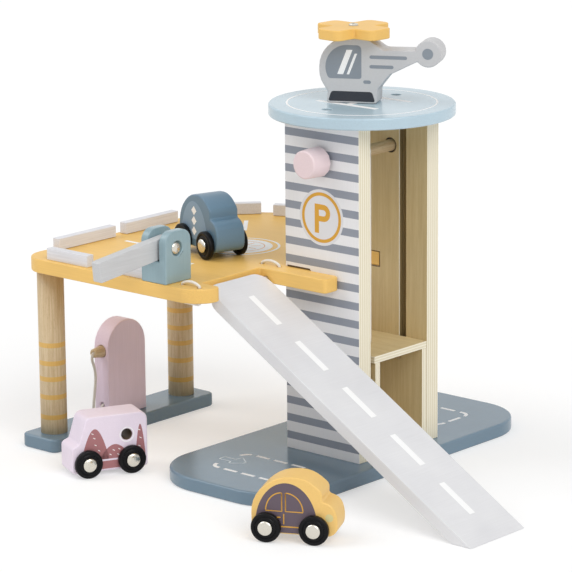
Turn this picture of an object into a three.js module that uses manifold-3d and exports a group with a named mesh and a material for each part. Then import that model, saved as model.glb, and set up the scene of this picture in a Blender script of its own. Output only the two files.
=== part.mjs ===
// A wooden toy parking garage with a lift, a ramp, a barrier, a fuel pump, a helicopter and three cars.
// Millimetres, +Z up. The origin is on the floor, under the middle of the tower.
// +X is the side where the ramp comes down, and -Y is the side that faces the viewer.

import * as THREE from 'three';
import { mergeVertices } from 'three/addons/utils/BufferGeometryUtils.js';
import Module from 'manifold-3d';

const wasm = await Module();
wasm.setup();

// Clearances
const FIT_GAP = 0.3; // around a piece that is glued or pressed in, or that rests on another
const RUN_GAP = 0.6; // around a piece that turns or slides
const CUT_OVERRUN = 2; // how far a cutting shape passes the surface that it cuts
const ARC_ERROR = 0.12; // how far a flat facet may lie inside its arc
const LARGEST_ERROR_SHARE = 0.5; // the same for a tiny arc, as a share of its radius

// Base plate
const BASE_THICKNESS = 12;
const BASE_LEFT = 93.7;
const BASE_RIGHT = 56.7;
const BASE_NEAR = 170.5;
const BASE_FAR = 167;
const BASE_CORNER = 50;
const BASE_BEVEL = 1.2;

// Tower walls
const WALL_WIDTH = 80;
const WALL_THICKNESS = 15;
const TOWER_DEPTH = 104;
const GROOVE_WIDTH = 7;
const GROOVE_DEPTH = 5;
const GROOVE_OFFSET = 13.5;

// Round disc on the tower
const DISC_RADIUS = 78;
const DISC_THICKNESS = 10;
const DISC_BEVEL = 1;
const DISC_SIDES = 80;
const SCREW_HEAD_RADIUS = 4;
const SCREW_HEAD_HEIGHT = 2.6;
const SCREW_SHANK_RADIUS = 2;
const SCREW_LENGTH = 30;
const SCREW_SINK = 1.2;

// Parking deck
const DECK_UNDERSIDE = 157.5;
const DECK_THICKNESS = 12;
const DECK_LEFT = 240;
const DECK_FAR = 115;
const DECK_RIGHT = 31;
const DECK_NEAR_CORNER = 22.5;
const DECK_FAR_CORNER = 105;
const DECK_RIGHT_CORNER = 25;
const TONGUE_LENGTH = 27.3;
const FINGER_WIDTH = 17.5;
const FINGER_OVERHANG = 31.4;
const FINGER_CORNER = 3.5;
const NEAR_FINGER_WIDTH = 26.2;
const NEAR_FINGER_RIGHT = 31.7;
const NEAR_TIP_CORNER = 22;
const NEAR_NOTCH_CORNER = 5;
const NOTCH_CORNER = 1.5;
const NOTCH_SETBACK = 13;

// Curbs on the deck
const CURB_WIDTH = 8;
const CURB_HEIGHT = 10;
const CURB_SETBACK = 4.5;
const CURB_ARC_GAP = 0.8;
const CURB_BLOCK_GAP = 1.3;
const FRONT_CURB_START = 28;
const FRONT_CURB_LENGTH = 48;
const GATE_CURB_LENGTH = 33;
const LEFT_CURB_START = 35;
const LEFT_CURB_LENGTH = 69;
const MIDDLE_CURB_START = 117;
const MIDDLE_CURB_LENGTH = 66;
const CORNER_CURB_LENGTH = 32;
const CORNER_CURB_ANGLE = 136;
const BACK_CURB_LENGTH = 40;
const BACK_CURB_ANGLE = 107;
const BACK_CURB_SKEW = 10;

// Posts and the bar under them
const POST_RADIUS = 11.5;
const POST_X = -226.5;
const POST_INSET = 22;
const POST_SPACING = 160;
const POST_SIDES = 40;
const FOOT_BAR_WIDTH = 41.5;
const FOOT_BAR_OVERHANG = 21.5;
const FOOT_BAR_SHIFT = 1.3;
const FOOT_BAR_CORNER = 7;

// Barrier
const BLOCK_INSET = 143;
const BLOCK_WIDTH = 27.8;
const BLOCK_DEPTH = 30.5;
const BLOCK_HEIGHT = 43.5;
const BLOCK_CORNER = 10;
const BLOCK_SETBACK = 0.5;
const SLOT_WIDTH = 12.6;
const SLOT_FLOOR = 18.5;
const SLOT_OFFSET = 7.5;
const ARM_WIDTH = 9;
const ARM_DEPTH = 17.4;
const ARM_RISE = 0.6;
const ARM_REACH = 79.8;
const ARM_TILT = 6.2;
const ARM_SHIFT = 1;
const ARM_CORNER = 1.5;
const PIVOT_HEIGHT = 28.5;
const PIVOT_SETBACK = 14.2;
const PIN_RADIUS = 2.5;
const PIN_HEAD_RADIUS = 5.6;
const PIN_HEAD_HEIGHT = 3;
const PIN_END_WALL = 3;

// Ramp
const RAMP_WIDTH = 69;
const RAMP_THICKNESS = 10.5;
const RAMP_SLOPE = 31;
const RAMP_SIDE_GAP = 1;
const RAMP_END_GAP = 2.8;
const RAMP_TOP_DROP = 2.9;
const RAMP_CORNER = 12;
const DOWEL_RADIUS = 2.5;
const DOWEL_INSET = 3.7;
const DOWEL_RISE = 2.8;
const DOWEL_HOLD = 16.5;
const LOOP_CORD_RADIUS = 1.25;
const LOOP_HOLE_GAP = 0.9;
const LOOP_BEND = 2.6;
const LOOP_LEAN = 26;
const LOOP_SHOULDER_DROP = 0.7;
const LOOP_LEFT = 15.2;
const LOOP_RIGHT = 4.2;
const LOOP_INSET = 5;
const LOOP_NEAR_INSET = 14;
const LOOP_SIDES = 8;
const BEND_STEPS = 5;

// Knob and shaft
const SHAFT_HEIGHT = 264;
const SHAFT_BELOW_TOP = 32;
const SHAFT_RADIUS = 5;
const SHAFT_HOLE_GAP = 0.9;
const KNOB_FRONT_RADIUS = 11.9;
const KNOB_BACK_RADIUS = 12.9;
const KNOB_BACK_SIDES = 12;
const KNOB_LENGTH = 20;
const KNOB_ROUND = 1;
const KNOB_BORE = 13;
const COLLAR_RADIUS = 7;
const COLLAR_LENGTH = 1.5;
const SHAFT_SIDES = 32;

// Cord of the lift
const CORD_RADIUS = 0.9;
const CORD_GAP = 0.6;
const WINDING_TURNS = 5;
const TURN_STEPS = 24;
const CORD_SIDES = 6;

// Lift cabin
const LIFT_REST_GAP = 0.5;
const LIFT_TOP = 100.3;
const LIFT_PANEL = 6;
const LIFT_WELL_GAP = 1;
const LIFT_ROOF_NEAR = 32;
const LIFT_PANEL_SETBACK = 1.1;
const PEG_RADIUS = 2.5;
const PEG_HEIGHT = 84;
const PEG_SIDES = 20;

// Fuel pump
const PUMP_X = -226;
const PUMP_THICKNESS = 17;
const PUMP_WIDTH = 47;
const PUMP_HEIGHT = 85.2;
const PUMP_NEAR_Y = -86.4;
const NOZZLE_HEIGHT = 59.3;
const NOZZLE_RADIUS = 5.25;
const NOZZLE_TIP_RADIUS = 3.9;
const NOZZLE_OUT = 10.1;
const NOZZLE_IN = 12;
const NOZZLE_ROUND = 0.6;
const NOZZLE_MOUTH_RADIUS = 1.8;
const NOZZLE_MOUTH_DEPTH = 5;
const HOSE_RADIUS = 1.25;
const HOSE_HOLE_RADIUS = 2.4;
const HOSE_HOLE_HEIGHT = 10.6;
const HOSE_HOLE_DEPTH = 11;
const HOSE_SIDES = 8;
const HOSE_STEPS = 40;

// Helicopter
const HELI_X = -21;
const HELI_Y = -21.1;
const HELI_HEADING = 27;
const HELI_THICKNESS = 21;
const HELI_LENGTH = 86;
const HELI_HEIGHT = 54;
const TAIL_RADIUS = 11.2;
const ROTOR_U = 21;
const ROTOR_GAP = 0.5;
const ROTOR_THICKNESS = 8.8;
const ROTOR_REACH = 32.5;
const ROTOR_TURN = -3;
const ROTOR_ARM_WIDTH = 25;
const ROTOR_TIP_CORNER = 6;
const ROTOR_INNER_CORNER = 0.6;
const ROTOR_SCREW_DEPTH = 18;
const ROTOR_SCREW_RADIUS = 2;
const ROTOR_SCREW_HEAD_RADIUS = 4;
const ROTOR_SCREW_HEAD_HEIGHT = 1.6;

// Cars
const WHEEL_RADIUS = 12;
const WHEEL_WIDTH = 5;
const WHEEL_OUTER = 19;
const WHEEL_ROUND = 1.1;
const WHEEL_SIDES = 24;
const WHEEL_BASE = 38.5;
const HUB_RADIUS = 5.9;
const HUB_HEIGHT = 2.6;
const AXLE_RADIUS = 1.6;
const AXLE_SIDES = 12;
const CAR_WIDTH = 27.4;
const YELLOW_CAR_LENGTH = 68;
const YELLOW_CAR_TOP = 53;
const YELLOW_CAR_X = 102.4;
const YELLOW_CAR_Y = -204.6;
const YELLOW_CAR_HEADING = 27.2;
const BLUE_CAR_LENGTH = 63;
const BLUE_CAR_TOP = 52;
const BLUE_CAR_X = -121.6;
const BLUE_CAR_Y = -56;
const BLUE_CAR_HEADING = -17.1;
const VAN_LENGTH = 67.4;
const VAN_TOP = 51.5;
const VAN_X = -139.2;
const VAN_Y = -172.5;
const VAN_HEADING = 244.5;
const VAN_HOLE_RADIUS = 4.6;

// Helpers

const degrees = Math.PI / 180;

// A closed outline through corners [x, y, radius], with each corner rounded by its radius. An arc
// takes at most half of each side that it joins.
function roundedOutline(corners) {
  const points = [];
  corners.forEach(([x, y, wantedRadius = 0], index) => {
    const corner = new THREE.Vector2(x, y);
    if (wantedRadius === 0) {
      points.push(corner);
      return;
    }
    const toBefore = new THREE.Vector2(...corners.at(index - 1)).sub(corner);
    const toAfter = new THREE.Vector2(...corners[(index + 1) % corners.length]).sub(corner);
    const room = Math.min(toBefore.length(), toAfter.length()) / 2;
    toBefore.normalize();
    toAfter.normalize();
    const halfAngle = Math.acos(toBefore.dot(toAfter)) / 2;
    const reach = Math.min(wantedRadius / Math.tan(halfAngle), room);
    const radius = reach * Math.tan(halfAngle);
    const middle = toBefore.clone().add(toAfter).normalize();
    const centre = corner.clone().addScaledVector(middle, radius / Math.sin(halfAngle));
    const first = corner.clone().addScaledVector(toBefore, reach).sub(centre);
    const turn = (Math.PI - 2 * halfAngle) * Math.sign(toAfter.cross(toBefore));
    const steps = arcSteps(radius, Math.abs(turn));
    for (let step = 0; step <= steps; step += 1) {
      const point = first.clone().rotateAround(new THREE.Vector2(), (turn * step) / steps);
      points.push(point.add(centre));
    }
  });
  return new THREE.Shape(points);
}

// The number of straight steps that keeps an arc within ARC_ERROR.
function arcSteps(radius, angle) {
  const stepAngle = 2 * Math.acos(1 - Math.min(ARC_ERROR / radius, LARGEST_ERROR_SHARE));
  return Math.max(2, Math.ceil(angle / stepAngle));
}

function roundOutline(x, y, radius, sides) {
  const points = [];
  for (let side = 0; side < sides; side += 1) {
    const angle = (2 * Math.PI * side) / sides;
    points.push(new THREE.Vector2(x + radius * Math.cos(angle), y + radius * Math.sin(angle)));
  }
  return new THREE.Shape(points);
}

function rectangle(left, right, low, high) {
  return roundedOutline([[left, low], [right, low], [right, high], [left, high]]);
}

// How an outline lies in space for each direction that it is pushed along.
function frameAlong(axis) {
  const x = new THREE.Vector3(1, 0, 0);
  const y = new THREE.Vector3(0, 1, 0);
  const z = new THREE.Vector3(0, 0, 1);
  const bases = { x: [y, z, x], y: [x, z, y.clone().negate()], z: [x, y, z] };
  return new THREE.Matrix4().makeBasis(...bases[axis]);
}

// A solid with one outline, between two places on an axis. An outline along x is drawn in (y, z),
// one along y in (x, z), and one along z in (x, y).
function prism(outline, axis, from, to, bevel = 0) {
  const geometry = new THREE.ExtrudeGeometry(outline, {
    depth: to - from - 2 * bevel,
    bevelEnabled: bevel > 0,
    bevelThickness: bevel,
    bevelSize: bevel,
    bevelOffset: -bevel,
    bevelSegments: 1,
    curveSegments: 1,
  });
  geometry.translate(0, 0, axis === 'y' ? bevel - to : from + bevel);
  return solidOf(geometry.applyMatrix4(frameAlong(axis)));
}

function block(left, right, near, far, low, high) {
  return prism(rectangle(left, right, near, far), 'z', low, high);
}

// A straight round bar along an axis, at a place given in the outline's two directions.
function bar(axis, first, second, radius, from, to, sides = SHAFT_SIDES) {
  return prism(roundOutline(first, second, radius, sides), axis, from, to);
}

// A turned solid. The profile's points are [radius, place along the axis], both ends on the axis.
function turned(profile, axis, sides) {
  const points = profile.map(([radius, along]) => new THREE.Vector2(radius, along));
  const geometry = new THREE.LatheGeometry(points, sides);
  geometry.rotateX(Math.PI / 2);
  if (axis === 'x') geometry.rotateY(Math.PI / 2);
  if (axis === 'y') geometry.rotateX(-Math.PI / 2);
  return solidOf(geometry);
}

// The profile of a domed head from its rim to its top. Each share is [radius, height].
const domeShares = [[1, 0], [0.85, 0.6], [0.45, 0.92], [0, 1]];

// The same for the flatter cap on the end of an axle.
const capShares = [[1, 0], [1, 0.6], [0.88, 0.9], [0.5, 1], [0, 1]];

function headProfile(shares, radius, low, height) {
  return shares.map(([across, up]) => [across * radius, low + up * height]);
}

// A closed geometry as a solid, without the flat triangles that a lathe leaves on its axis.
function solidOf(geometry) {
  const bare = geometry.clone();
  bare.deleteAttribute('normal');
  bare.deleteAttribute('uv');
  const merged = mergeVertices(bare);
  const corners = merged.index.array;
  const kept = [];
  for (let start = 0; start < corners.length; start += 3) {
    const [a, b, c] = corners.slice(start, start + 3);
    if (a !== b && b !== c && c !== a) kept.push(a, b, c);
  }
  const mesh = new wasm.Mesh({
    numProp: 3,
    vertProperties: Float32Array.from(merged.attributes.position.array),
    triVerts: Uint32Array.from(kept),
  });
  const solid = new wasm.Manifold(mesh);
  return solid.volume() < 0 ? flipped(mesh) : solid;
}

// The same surface with its faces turned the other way.
function flipped(mesh) {
  return new wasm.Manifold(
    new wasm.Mesh({
      numProp: 3,
      vertProperties: mesh.vertProperties,
      triVerts: mesh.triVerts.slice().reverse(),
    }),
  );
}

function geometryOf(solid) {
  const mesh = solid.getMesh();
  const geometry = new THREE.BufferGeometry();
  geometry.setAttribute('position', new THREE.BufferAttribute(mesh.vertProperties, 3));
  geometry.setIndex(new THREE.BufferAttribute(mesh.triVerts, 1));
  geometry.computeVertexNormals();
  return geometry;
}

function cut(solid, ...cutters) {
  return cutters.reduce((rest, cutter) => rest.subtract(cutter), solid);
}

function finish(colour, roughness = 0.6, metalness = 0) {
  return new THREE.MeshStandardMaterial({ color: colour, roughness, metalness });
}

function piece(name, solid, material) {
  const mesh = new THREE.Mesh(geometryOf(solid), material);
  mesh.name = name;
  return mesh;
}

// A round tube through points, as one closed surface. A loop joins its last ring to its first.
function tube(points, radius, sides, loop) {
  const count = points.length;
  const positions = [];
  const triangles = [];
  let side = null;
  points.forEach((point, index) => {
    const before = points[loop ? (index + count - 1) % count : Math.max(index - 1, 0)];
    const after = points[loop ? (index + 1) % count : Math.min(index + 1, count - 1)];
    const along = after.clone().sub(before).normalize();
    side = side ?? sideOf(along);
    side.addScaledVector(along, -side.dot(along)).normalize();
    const up = along.clone().cross(side);
    for (let corner = 0; corner < sides; corner += 1) {
      const angle = (2 * Math.PI * corner) / sides;
      const place = point.clone().addScaledVector(side, radius * Math.cos(angle));
      positions.push(...place.addScaledVector(up, radius * Math.sin(angle)).toArray());
    }
  });
  const rings = loop ? count : count - 1;
  for (let ring = 0; ring < rings; ring += 1) {
    const next = (ring + 1) % count;
    for (let corner = 0; corner < sides; corner += 1) {
      const turn = (corner + 1) % sides;
      const [a, b] = [ring * sides + corner, ring * sides + turn];
      const [c, d] = [next * sides + turn, next * sides + corner];
      triangles.push(a, b, c, a, c, d);
    }
  }
  if (!loop) {
    for (let corner = 1; corner < sides - 1; corner += 1) {
      const last = (count - 1) * sides;
      triangles.push(0, corner + 1, corner);
      triangles.push(last, last + corner, last + corner + 1);
    }
  }
  const geometry = new THREE.BufferGeometry();
  geometry.setAttribute('position', new THREE.Float32BufferAttribute(positions, 3));
  geometry.setIndex(triangles);
  return solidOf(geometry);
}

function sideOf(along) {
  const steep = Math.abs(along.y) > Math.SQRT1_2;
  const other = steep ? new THREE.Vector3(1, 0, 0) : new THREE.Vector3(0, 1, 0);
  return along.clone().cross(other).normalize();
}

// The least distance between the surfaces of a tube's stretches that are not neighbours.
function leastGap(points, radius, skip) {
  let least = Infinity;
  for (let first = 0; first < points.length; first += 1) {
    for (let second = first + skip; second < points.length; second += 1) {
      least = Math.min(least, points[first].distanceTo(points[second]));
    }
  }
  return least - 2 * radius;
}

// Finishes
const deckPaint = finish('#f2c36f', 0.55);
const basePaint = finish('#7e929e', 0.6);
const discPaint = finish('#b9d2de', 0.55);
const blockPaint = finish('#9fc0c8', 0.55);
const whitePaint = finish('#e2e2e4', 0.55);
const plywood = finish('#d9cba6', 0.7);
const beech = finish('#d3b98c', 0.6);
const pinkPaint = finish('#d6b8c0', 0.55);
const knobPaint = finish('#e8d6d6', 0.5);
const vanPaint = finish('#e6cfe3', 0.55);
const yellowPaint = finish('#f2c675', 0.55);
const bluePaint = finish('#5f7d93', 0.55);
const greyPaint = finish('#c4c6c9', 0.55);
const wheelPaint = finish('#1b1b1d', 0.45);
const nickel = finish('#d8d4c8', 0.3, 1);
const cotton = finish('#ece6d8', 0.9);

// Places that more than one piece uses
const wallTop = SHAFT_HEIGHT + SHAFT_BELOW_TOP;
const wallOuter = TOWER_DEPTH / 2;
const wallInner = wallOuter - WALL_THICKNESS;
const wallHalf = WALL_WIDTH / 2;
const deckTop = DECK_UNDERSIDE + DECK_THICKNESS;
const deckWellEdge = -wallHalf - FIT_GAP;
const tongueEnd = TONGUE_LENGTH - wallHalf;
const fingerNear = -wallOuter - FIT_GAP - FINGER_WIDTH;
const fingerRight = tongueEnd + FINGER_OVERHANG;
const notchNear = fingerNear - RAMP_WIDTH - 2 * RAMP_SIDE_GAP;
const notchWall = deckWellEdge - NOTCH_SETBACK;
const deckNear = notchNear - NEAR_FINGER_WIDTH;
const postNearY = deckNear + POST_INSET;
const postFarY = postNearY + POST_SPACING;
const screwY = wallOuter - WALL_THICKNESS / 2;
const shaftBack = -wallOuter - RUN_GAP - COLLAR_LENGTH;
const curbInset = CURB_SETBACK + CURB_WIDTH / 2;
const arcX = DECK_FAR_CORNER - DECK_LEFT;
const arcY = DECK_FAR - DECK_FAR_CORNER;
const blockLeft = -DECK_LEFT + BLOCK_INSET;
const blockRight = blockLeft + BLOCK_WIDTH;
const blockNear = deckNear + BLOCK_SETBACK;
const slotLeft = blockLeft + SLOT_OFFSET;
const pivotY = blockNear + PIVOT_SETBACK;
const pivotZ = deckTop + PIVOT_HEIGHT;
const rampTopX = notchWall + RAMP_END_GAP;
const rampTopZ = deckTop - RAMP_TOP_DROP;
const rampNear = notchNear + RAMP_SIDE_GAP;
const rampFar = fingerNear - RAMP_SIDE_GAP;
const dowelX = rampTopX + DOWEL_INSET;
const dowelZ = DECK_UNDERSIDE + DOWEL_RISE;
const dowelNear = notchNear - DOWEL_HOLD;
const dowelFar = fingerNear + DOWEL_HOLD;
const loopLeft = dowelX - LOOP_LEFT;
const loopRight = dowelX + LOOP_RIGHT;
const loopFarY = -wallOuter - LOOP_INSET;
const loopNearY = notchNear - LOOP_NEAR_INSET;
const liftLow = BASE_THICKNESS + LIFT_REST_GAP;
const liftLeft = LIFT_WELL_GAP - wallHalf;
const liftNear = LIFT_PANEL_SETBACK - LIFT_ROOF_NEAR;
const liftFar = wallInner - FIT_GAP;
const liftRoofLow = LIFT_TOP - LIFT_PANEL;
const liftMiddleY = (liftNear + liftFar) / 2;
const windingRadius = SHAFT_RADIUS + FIT_GAP + CORD_RADIUS;
const windingPitch = 2 * CORD_RADIUS + CORD_GAP;
const windingTail = 2 * CORD_RADIUS;

function basePlate() {
  const outline = roundedOutline([
    [-BASE_LEFT, -BASE_NEAR, BASE_CORNER],
    [BASE_RIGHT, -BASE_NEAR, BASE_CORNER],
    [BASE_RIGHT, BASE_FAR, BASE_CORNER],
    [-BASE_LEFT, BASE_FAR, BASE_CORNER],
  ]);
  return piece('base_plate', prism(outline, 'z', 0, BASE_THICKNESS, BASE_BEVEL), basePaint);
}

// A tower wall: side is -1 for the front one and 1 for the rear one.
function towerWall(name, side) {
  const span = (inner, outer) => (side > 0 ? [inner, outer] : [-outer, -inner]);
  const board = block(-wallHalf, wallHalf, ...span(wallInner, wallOuter), BASE_THICKNESS, wallTop);
  const groove = block(
    GROOVE_OFFSET - GROOVE_WIDTH / 2,
    GROOVE_OFFSET + GROOVE_WIDTH / 2,
    ...span(wallInner - CUT_OVERRUN, wallInner + GROOVE_DEPTH),
    BASE_THICKNESS - CUT_OVERRUN,
    wallTop + CUT_OVERRUN,
  );
  const tongueSlot = block(
    -wallHalf - CUT_OVERRUN,
    tongueEnd + FIT_GAP,
    ...span(wallInner - CUT_OVERRUN, wallOuter + CUT_OVERRUN),
    DECK_UNDERSIDE - FIT_GAP,
    deckTop + FIT_GAP,
  );
  const through = span(wallInner - CUT_OVERRUN, wallOuter + CUT_OVERRUN);
  const shaftHole = bar('y', 0, SHAFT_HEIGHT, SHAFT_RADIUS + SHAFT_HOLE_GAP, ...through);
  const screwLow = wallTop + DISC_THICKNESS - SCREW_SINK - SCREW_LENGTH - FIT_GAP;
  const screwHole = bar('z', 0, side * screwY, SCREW_SHANK_RADIUS + FIT_GAP, screwLow, wallTop + CUT_OVERRUN);
  return piece(name, cut(board, groove, tongueSlot, shaftHole, screwHole), plywood);
}

function topDisc() {
  const discTop = wallTop + DISC_THICKNESS;
  const blank = turned(
    [
      [0, wallTop],
      [DISC_RADIUS - DISC_BEVEL, wallTop],
      [DISC_RADIUS, wallTop + DISC_BEVEL],
      [DISC_RADIUS, discTop - DISC_BEVEL],
      [DISC_RADIUS - DISC_BEVEL, discTop],
      [0, discTop],
    ],
    'z',
    DISC_SIDES,
  );
  const seatLow = discTop - SCREW_SINK - SCREW_HEAD_HEIGHT - FIT_GAP;
  const holes = [-screwY, screwY].flatMap((y) => [
    bar('z', 0, y, SCREW_HEAD_RADIUS + FIT_GAP, seatLow, discTop + CUT_OVERRUN),
    bar('z', 0, y, SCREW_SHANK_RADIUS + FIT_GAP, wallTop - CUT_OVERRUN, discTop),
  ]);
  return piece('top_disc', cut(blank, ...holes), discPaint);
}

function discScrew(name, y) {
  const headTop = wallTop + DISC_THICKNESS - SCREW_SINK;
  const headLow = headTop - SCREW_HEAD_HEIGHT;
  const profile = [
    [0, headTop - SCREW_LENGTH],
    [SCREW_SHANK_RADIUS, headTop - SCREW_LENGTH + SCREW_SHANK_RADIUS],
    [SCREW_SHANK_RADIUS, headLow],
    [SCREW_HEAD_RADIUS, headLow],
    [SCREW_HEAD_RADIUS, headTop],
    [0, headTop],
  ];
  return piece(name, turned(profile, 'z', PEG_SIDES).translate(0, y, 0), nickel);
}

// The parking deck, with the tongues in the walls' slots and the fingers beside the ramp
function parkingDeck() {
  const tipCut = NEAR_TIP_CORNER * (1 - Math.tan(Math.PI / 8));
  const outline = roundedOutline([
    [-DECK_LEFT, deckNear, DECK_NEAR_CORNER],
    [-NEAR_FINGER_RIGHT - tipCut, deckNear, NEAR_TIP_CORNER],
    [-NEAR_FINGER_RIGHT, deckNear + tipCut, NEAR_TIP_CORNER],
    [-NEAR_FINGER_RIGHT, notchNear, NEAR_NOTCH_CORNER],
    [notchWall, notchNear, NOTCH_CORNER],
    [notchWall, fingerNear, NOTCH_CORNER],
    [fingerRight, fingerNear, FINGER_CORNER],
    [fingerRight, -wallOuter - FIT_GAP, FINGER_CORNER],
    [tongueEnd, -wallOuter - FIT_GAP],
    [tongueEnd, -wallInner],
    [deckWellEdge, -wallInner],
    [deckWellEdge, wallInner],
    [tongueEnd, wallInner],
    [tongueEnd, wallOuter + FIT_GAP],
    [fingerRight, wallOuter + FIT_GAP, FINGER_CORNER],
    [fingerRight, wallOuter + FIT_GAP + FINGER_WIDTH, FINGER_CORNER],
    [-DECK_RIGHT, wallOuter + FIT_GAP + FINGER_WIDTH, NOTCH_CORNER],
    [-DECK_RIGHT, DECK_FAR, DECK_RIGHT_CORNER],
    [-DECK_LEFT, DECK_FAR, DECK_FAR_CORNER],
  ]);
  const board = prism(outline, 'z', DECK_UNDERSIDE, deckTop);
  const holes = [loopNearY, loopFarY].flatMap((y) =>
    [loopLeft, loopRight].map((x) =>
      bar(
        'z',
        x,
        y,
        LOOP_CORD_RADIUS + LOOP_HOLE_GAP,
        DECK_UNDERSIDE - CUT_OVERRUN,
        deckTop + CUT_OVERRUN,
        PEG_SIDES,
      ),
    ),
  );
  const grooves = [
    dowelGroove(dowelNear - FIT_GAP, notchNear + CUT_OVERRUN),
    dowelGroove(fingerNear - CUT_OVERRUN, dowelFar + FIT_GAP),
  ];
  return piece('parking_deck', cut(board, ...holes, ...grooves), deckPaint);
}

// A groove in the underside of a finger, as wide as the dowel and round at its top
function dowelGroove(near, far) {
  const radius = DOWEL_RADIUS + FIT_GAP;
  const round = bar('y', dowelX, dowelZ, radius, near, far, PEG_SIDES);
  return round.add(
    block(dowelX - radius, dowelX + radius, near, far, DECK_UNDERSIDE - CUT_OVERRUN, dowelZ),
  );
}

function curb(name, x, y, heading, length) {
  const strip = block(
    -length / 2,
    length / 2,
    -CURB_WIDTH / 2,
    CURB_WIDTH / 2,
    0,
    CURB_HEIGHT,
  );
  const mesh = piece(name, strip, whitePaint);
  mesh.position.set(x, y, heading === 0 ? deckTop : deckTop + FIT_GAP);
  mesh.rotation.z = heading * degrees;
  return mesh;
}

// A straight curb beside the deck's round corner, as far out as its ends allow
function arcCurb(name, angle, skew, length) {
  const along = (length / 2) * Math.cos(skew * degrees) - (CURB_WIDTH / 2) * Math.sin(skew * degrees);
  const out = (length / 2) * Math.sin(skew * degrees) + (CURB_WIDTH / 2) * Math.cos(skew * degrees);
  const radius = Math.sqrt((DECK_FAR_CORNER - CURB_ARC_GAP) ** 2 - along ** 2) - out;
  const x = arcX + radius * Math.cos(angle * degrees);
  const y = arcY + radius * Math.sin(angle * degrees);
  return curb(name, x, y, angle - 90 + skew, length);
}

function curbs() {
  const frontY = deckNear + curbInset;
  const leftX = curbInset - DECK_LEFT;
  const frontX = FRONT_CURB_START + FRONT_CURB_LENGTH / 2 - DECK_LEFT;
  const gateX = blockLeft - CURB_BLOCK_GAP - GATE_CURB_LENGTH / 2;
  const leftY = deckNear + LEFT_CURB_START + LEFT_CURB_LENGTH / 2;
  const middleY = deckNear + MIDDLE_CURB_START + MIDDLE_CURB_LENGTH / 2;
  return [
    curb('curb_front', frontX, frontY, 0, FRONT_CURB_LENGTH),
    curb('curb_gate', gateX, frontY, 0, GATE_CURB_LENGTH),
    curb('curb_left', leftX, leftY, 90, LEFT_CURB_LENGTH),
    curb('curb_middle', leftX, middleY, 90, MIDDLE_CURB_LENGTH),
    arcCurb('curb_corner', CORNER_CURB_ANGLE, 0, CORNER_CURB_LENGTH),
    arcCurb('curb_back', BACK_CURB_ANGLE, BACK_CURB_SKEW, BACK_CURB_LENGTH),
  ];
}

function post(name, y) {
  const stick = bar('z', POST_X, y, POST_RADIUS, BASE_THICKNESS, DECK_UNDERSIDE, POST_SIDES);
  return piece(name, stick, beech);
}

function footBar() {
  const left = POST_X + FOOT_BAR_SHIFT - FOOT_BAR_WIDTH / 2;
  const right = left + FOOT_BAR_WIDTH;
  const outline = roundedOutline([
    [left, postNearY - FOOT_BAR_OVERHANG, FOOT_BAR_CORNER],
    [right, postNearY - FOOT_BAR_OVERHANG, FOOT_BAR_CORNER],
    [right, postFarY + FOOT_BAR_OVERHANG, FOOT_BAR_CORNER],
    [left, postFarY + FOOT_BAR_OVERHANG, FOOT_BAR_CORNER],
  ]);
  return piece('foot_bar', prism(outline, 'z', 0, BASE_THICKNESS, BASE_BEVEL), basePaint);
}

function barrierBlock() {
  const blockFar = blockNear + BLOCK_DEPTH;
  const blockTop = deckTop + BLOCK_HEIGHT;
  const outline = roundedOutline([
    [blockNear, deckTop],
    [blockFar, deckTop],
    [blockFar, blockTop, BLOCK_CORNER],
    [blockNear, blockTop, BLOCK_CORNER],
  ]);
  const slot = block(
    slotLeft,
    slotLeft + SLOT_WIDTH,
    blockNear - CUT_OVERRUN,
    blockFar + CUT_OVERRUN,
    deckTop + SLOT_FLOOR,
    blockTop + CUT_OVERRUN,
  );
  const pinEnd = blockLeft + PIN_END_WALL - FIT_GAP;
  const pinHole = bar('x', pivotY, pivotZ, PIN_RADIUS + FIT_GAP, pinEnd, blockRight, PEG_SIDES);
  const headSeat = blockRight - PIN_HEAD_HEIGHT - FIT_GAP;
  const headEnd = blockRight + CUT_OVERRUN;
  const headHole = bar('x', pivotY, pivotZ, PIN_HEAD_RADIUS + RUN_GAP, headSeat, headEnd);
  const blank = prism(outline, 'x', blockLeft, blockRight);
  return piece('barrier_block', cut(blank, slot, pinHole, headHole), blockPaint);
}

function barrierPin() {
  const headLow = blockRight - PIN_HEAD_HEIGHT;
  const profile = [
    [0, blockLeft + PIN_END_WALL],
    [PIN_RADIUS, blockLeft + PIN_END_WALL],
    [PIN_RADIUS, headLow],
    ...headProfile(domeShares, PIN_HEAD_RADIUS, headLow, PIN_HEAD_HEIGHT),
  ];
  return piece('barrier_pin', turned(profile, 'x', PEG_SIDES).translate(0, pivotY, pivotZ), nickel);
}

// The arm points to the front and rests on the front edge of its slot.
function barrierArm() {
  const half = ARM_DEPTH / 2;
  const outline = roundedOutline([
    [-ARM_REACH, ARM_RISE - half, ARM_CORNER],
    [half, ARM_RISE - half, half],
    [half, ARM_RISE + half, half],
    [-ARM_REACH, ARM_RISE + half, ARM_CORNER],
  ]);
  const board = prism(outline, 'x', 0, ARM_WIDTH);
  const hole = bar('x', 0, 0, PIN_RADIUS + RUN_GAP, -CUT_OVERRUN, ARM_WIDTH + CUT_OVERRUN, PEG_SIDES);
  const mesh = piece('barrier_arm', cut(board, hole), whitePaint);
  mesh.position.set(slotLeft + ARM_SHIFT, pivotY, pivotZ);
  mesh.rotation.x = ARM_TILT * degrees;
  return mesh;
}

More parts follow.
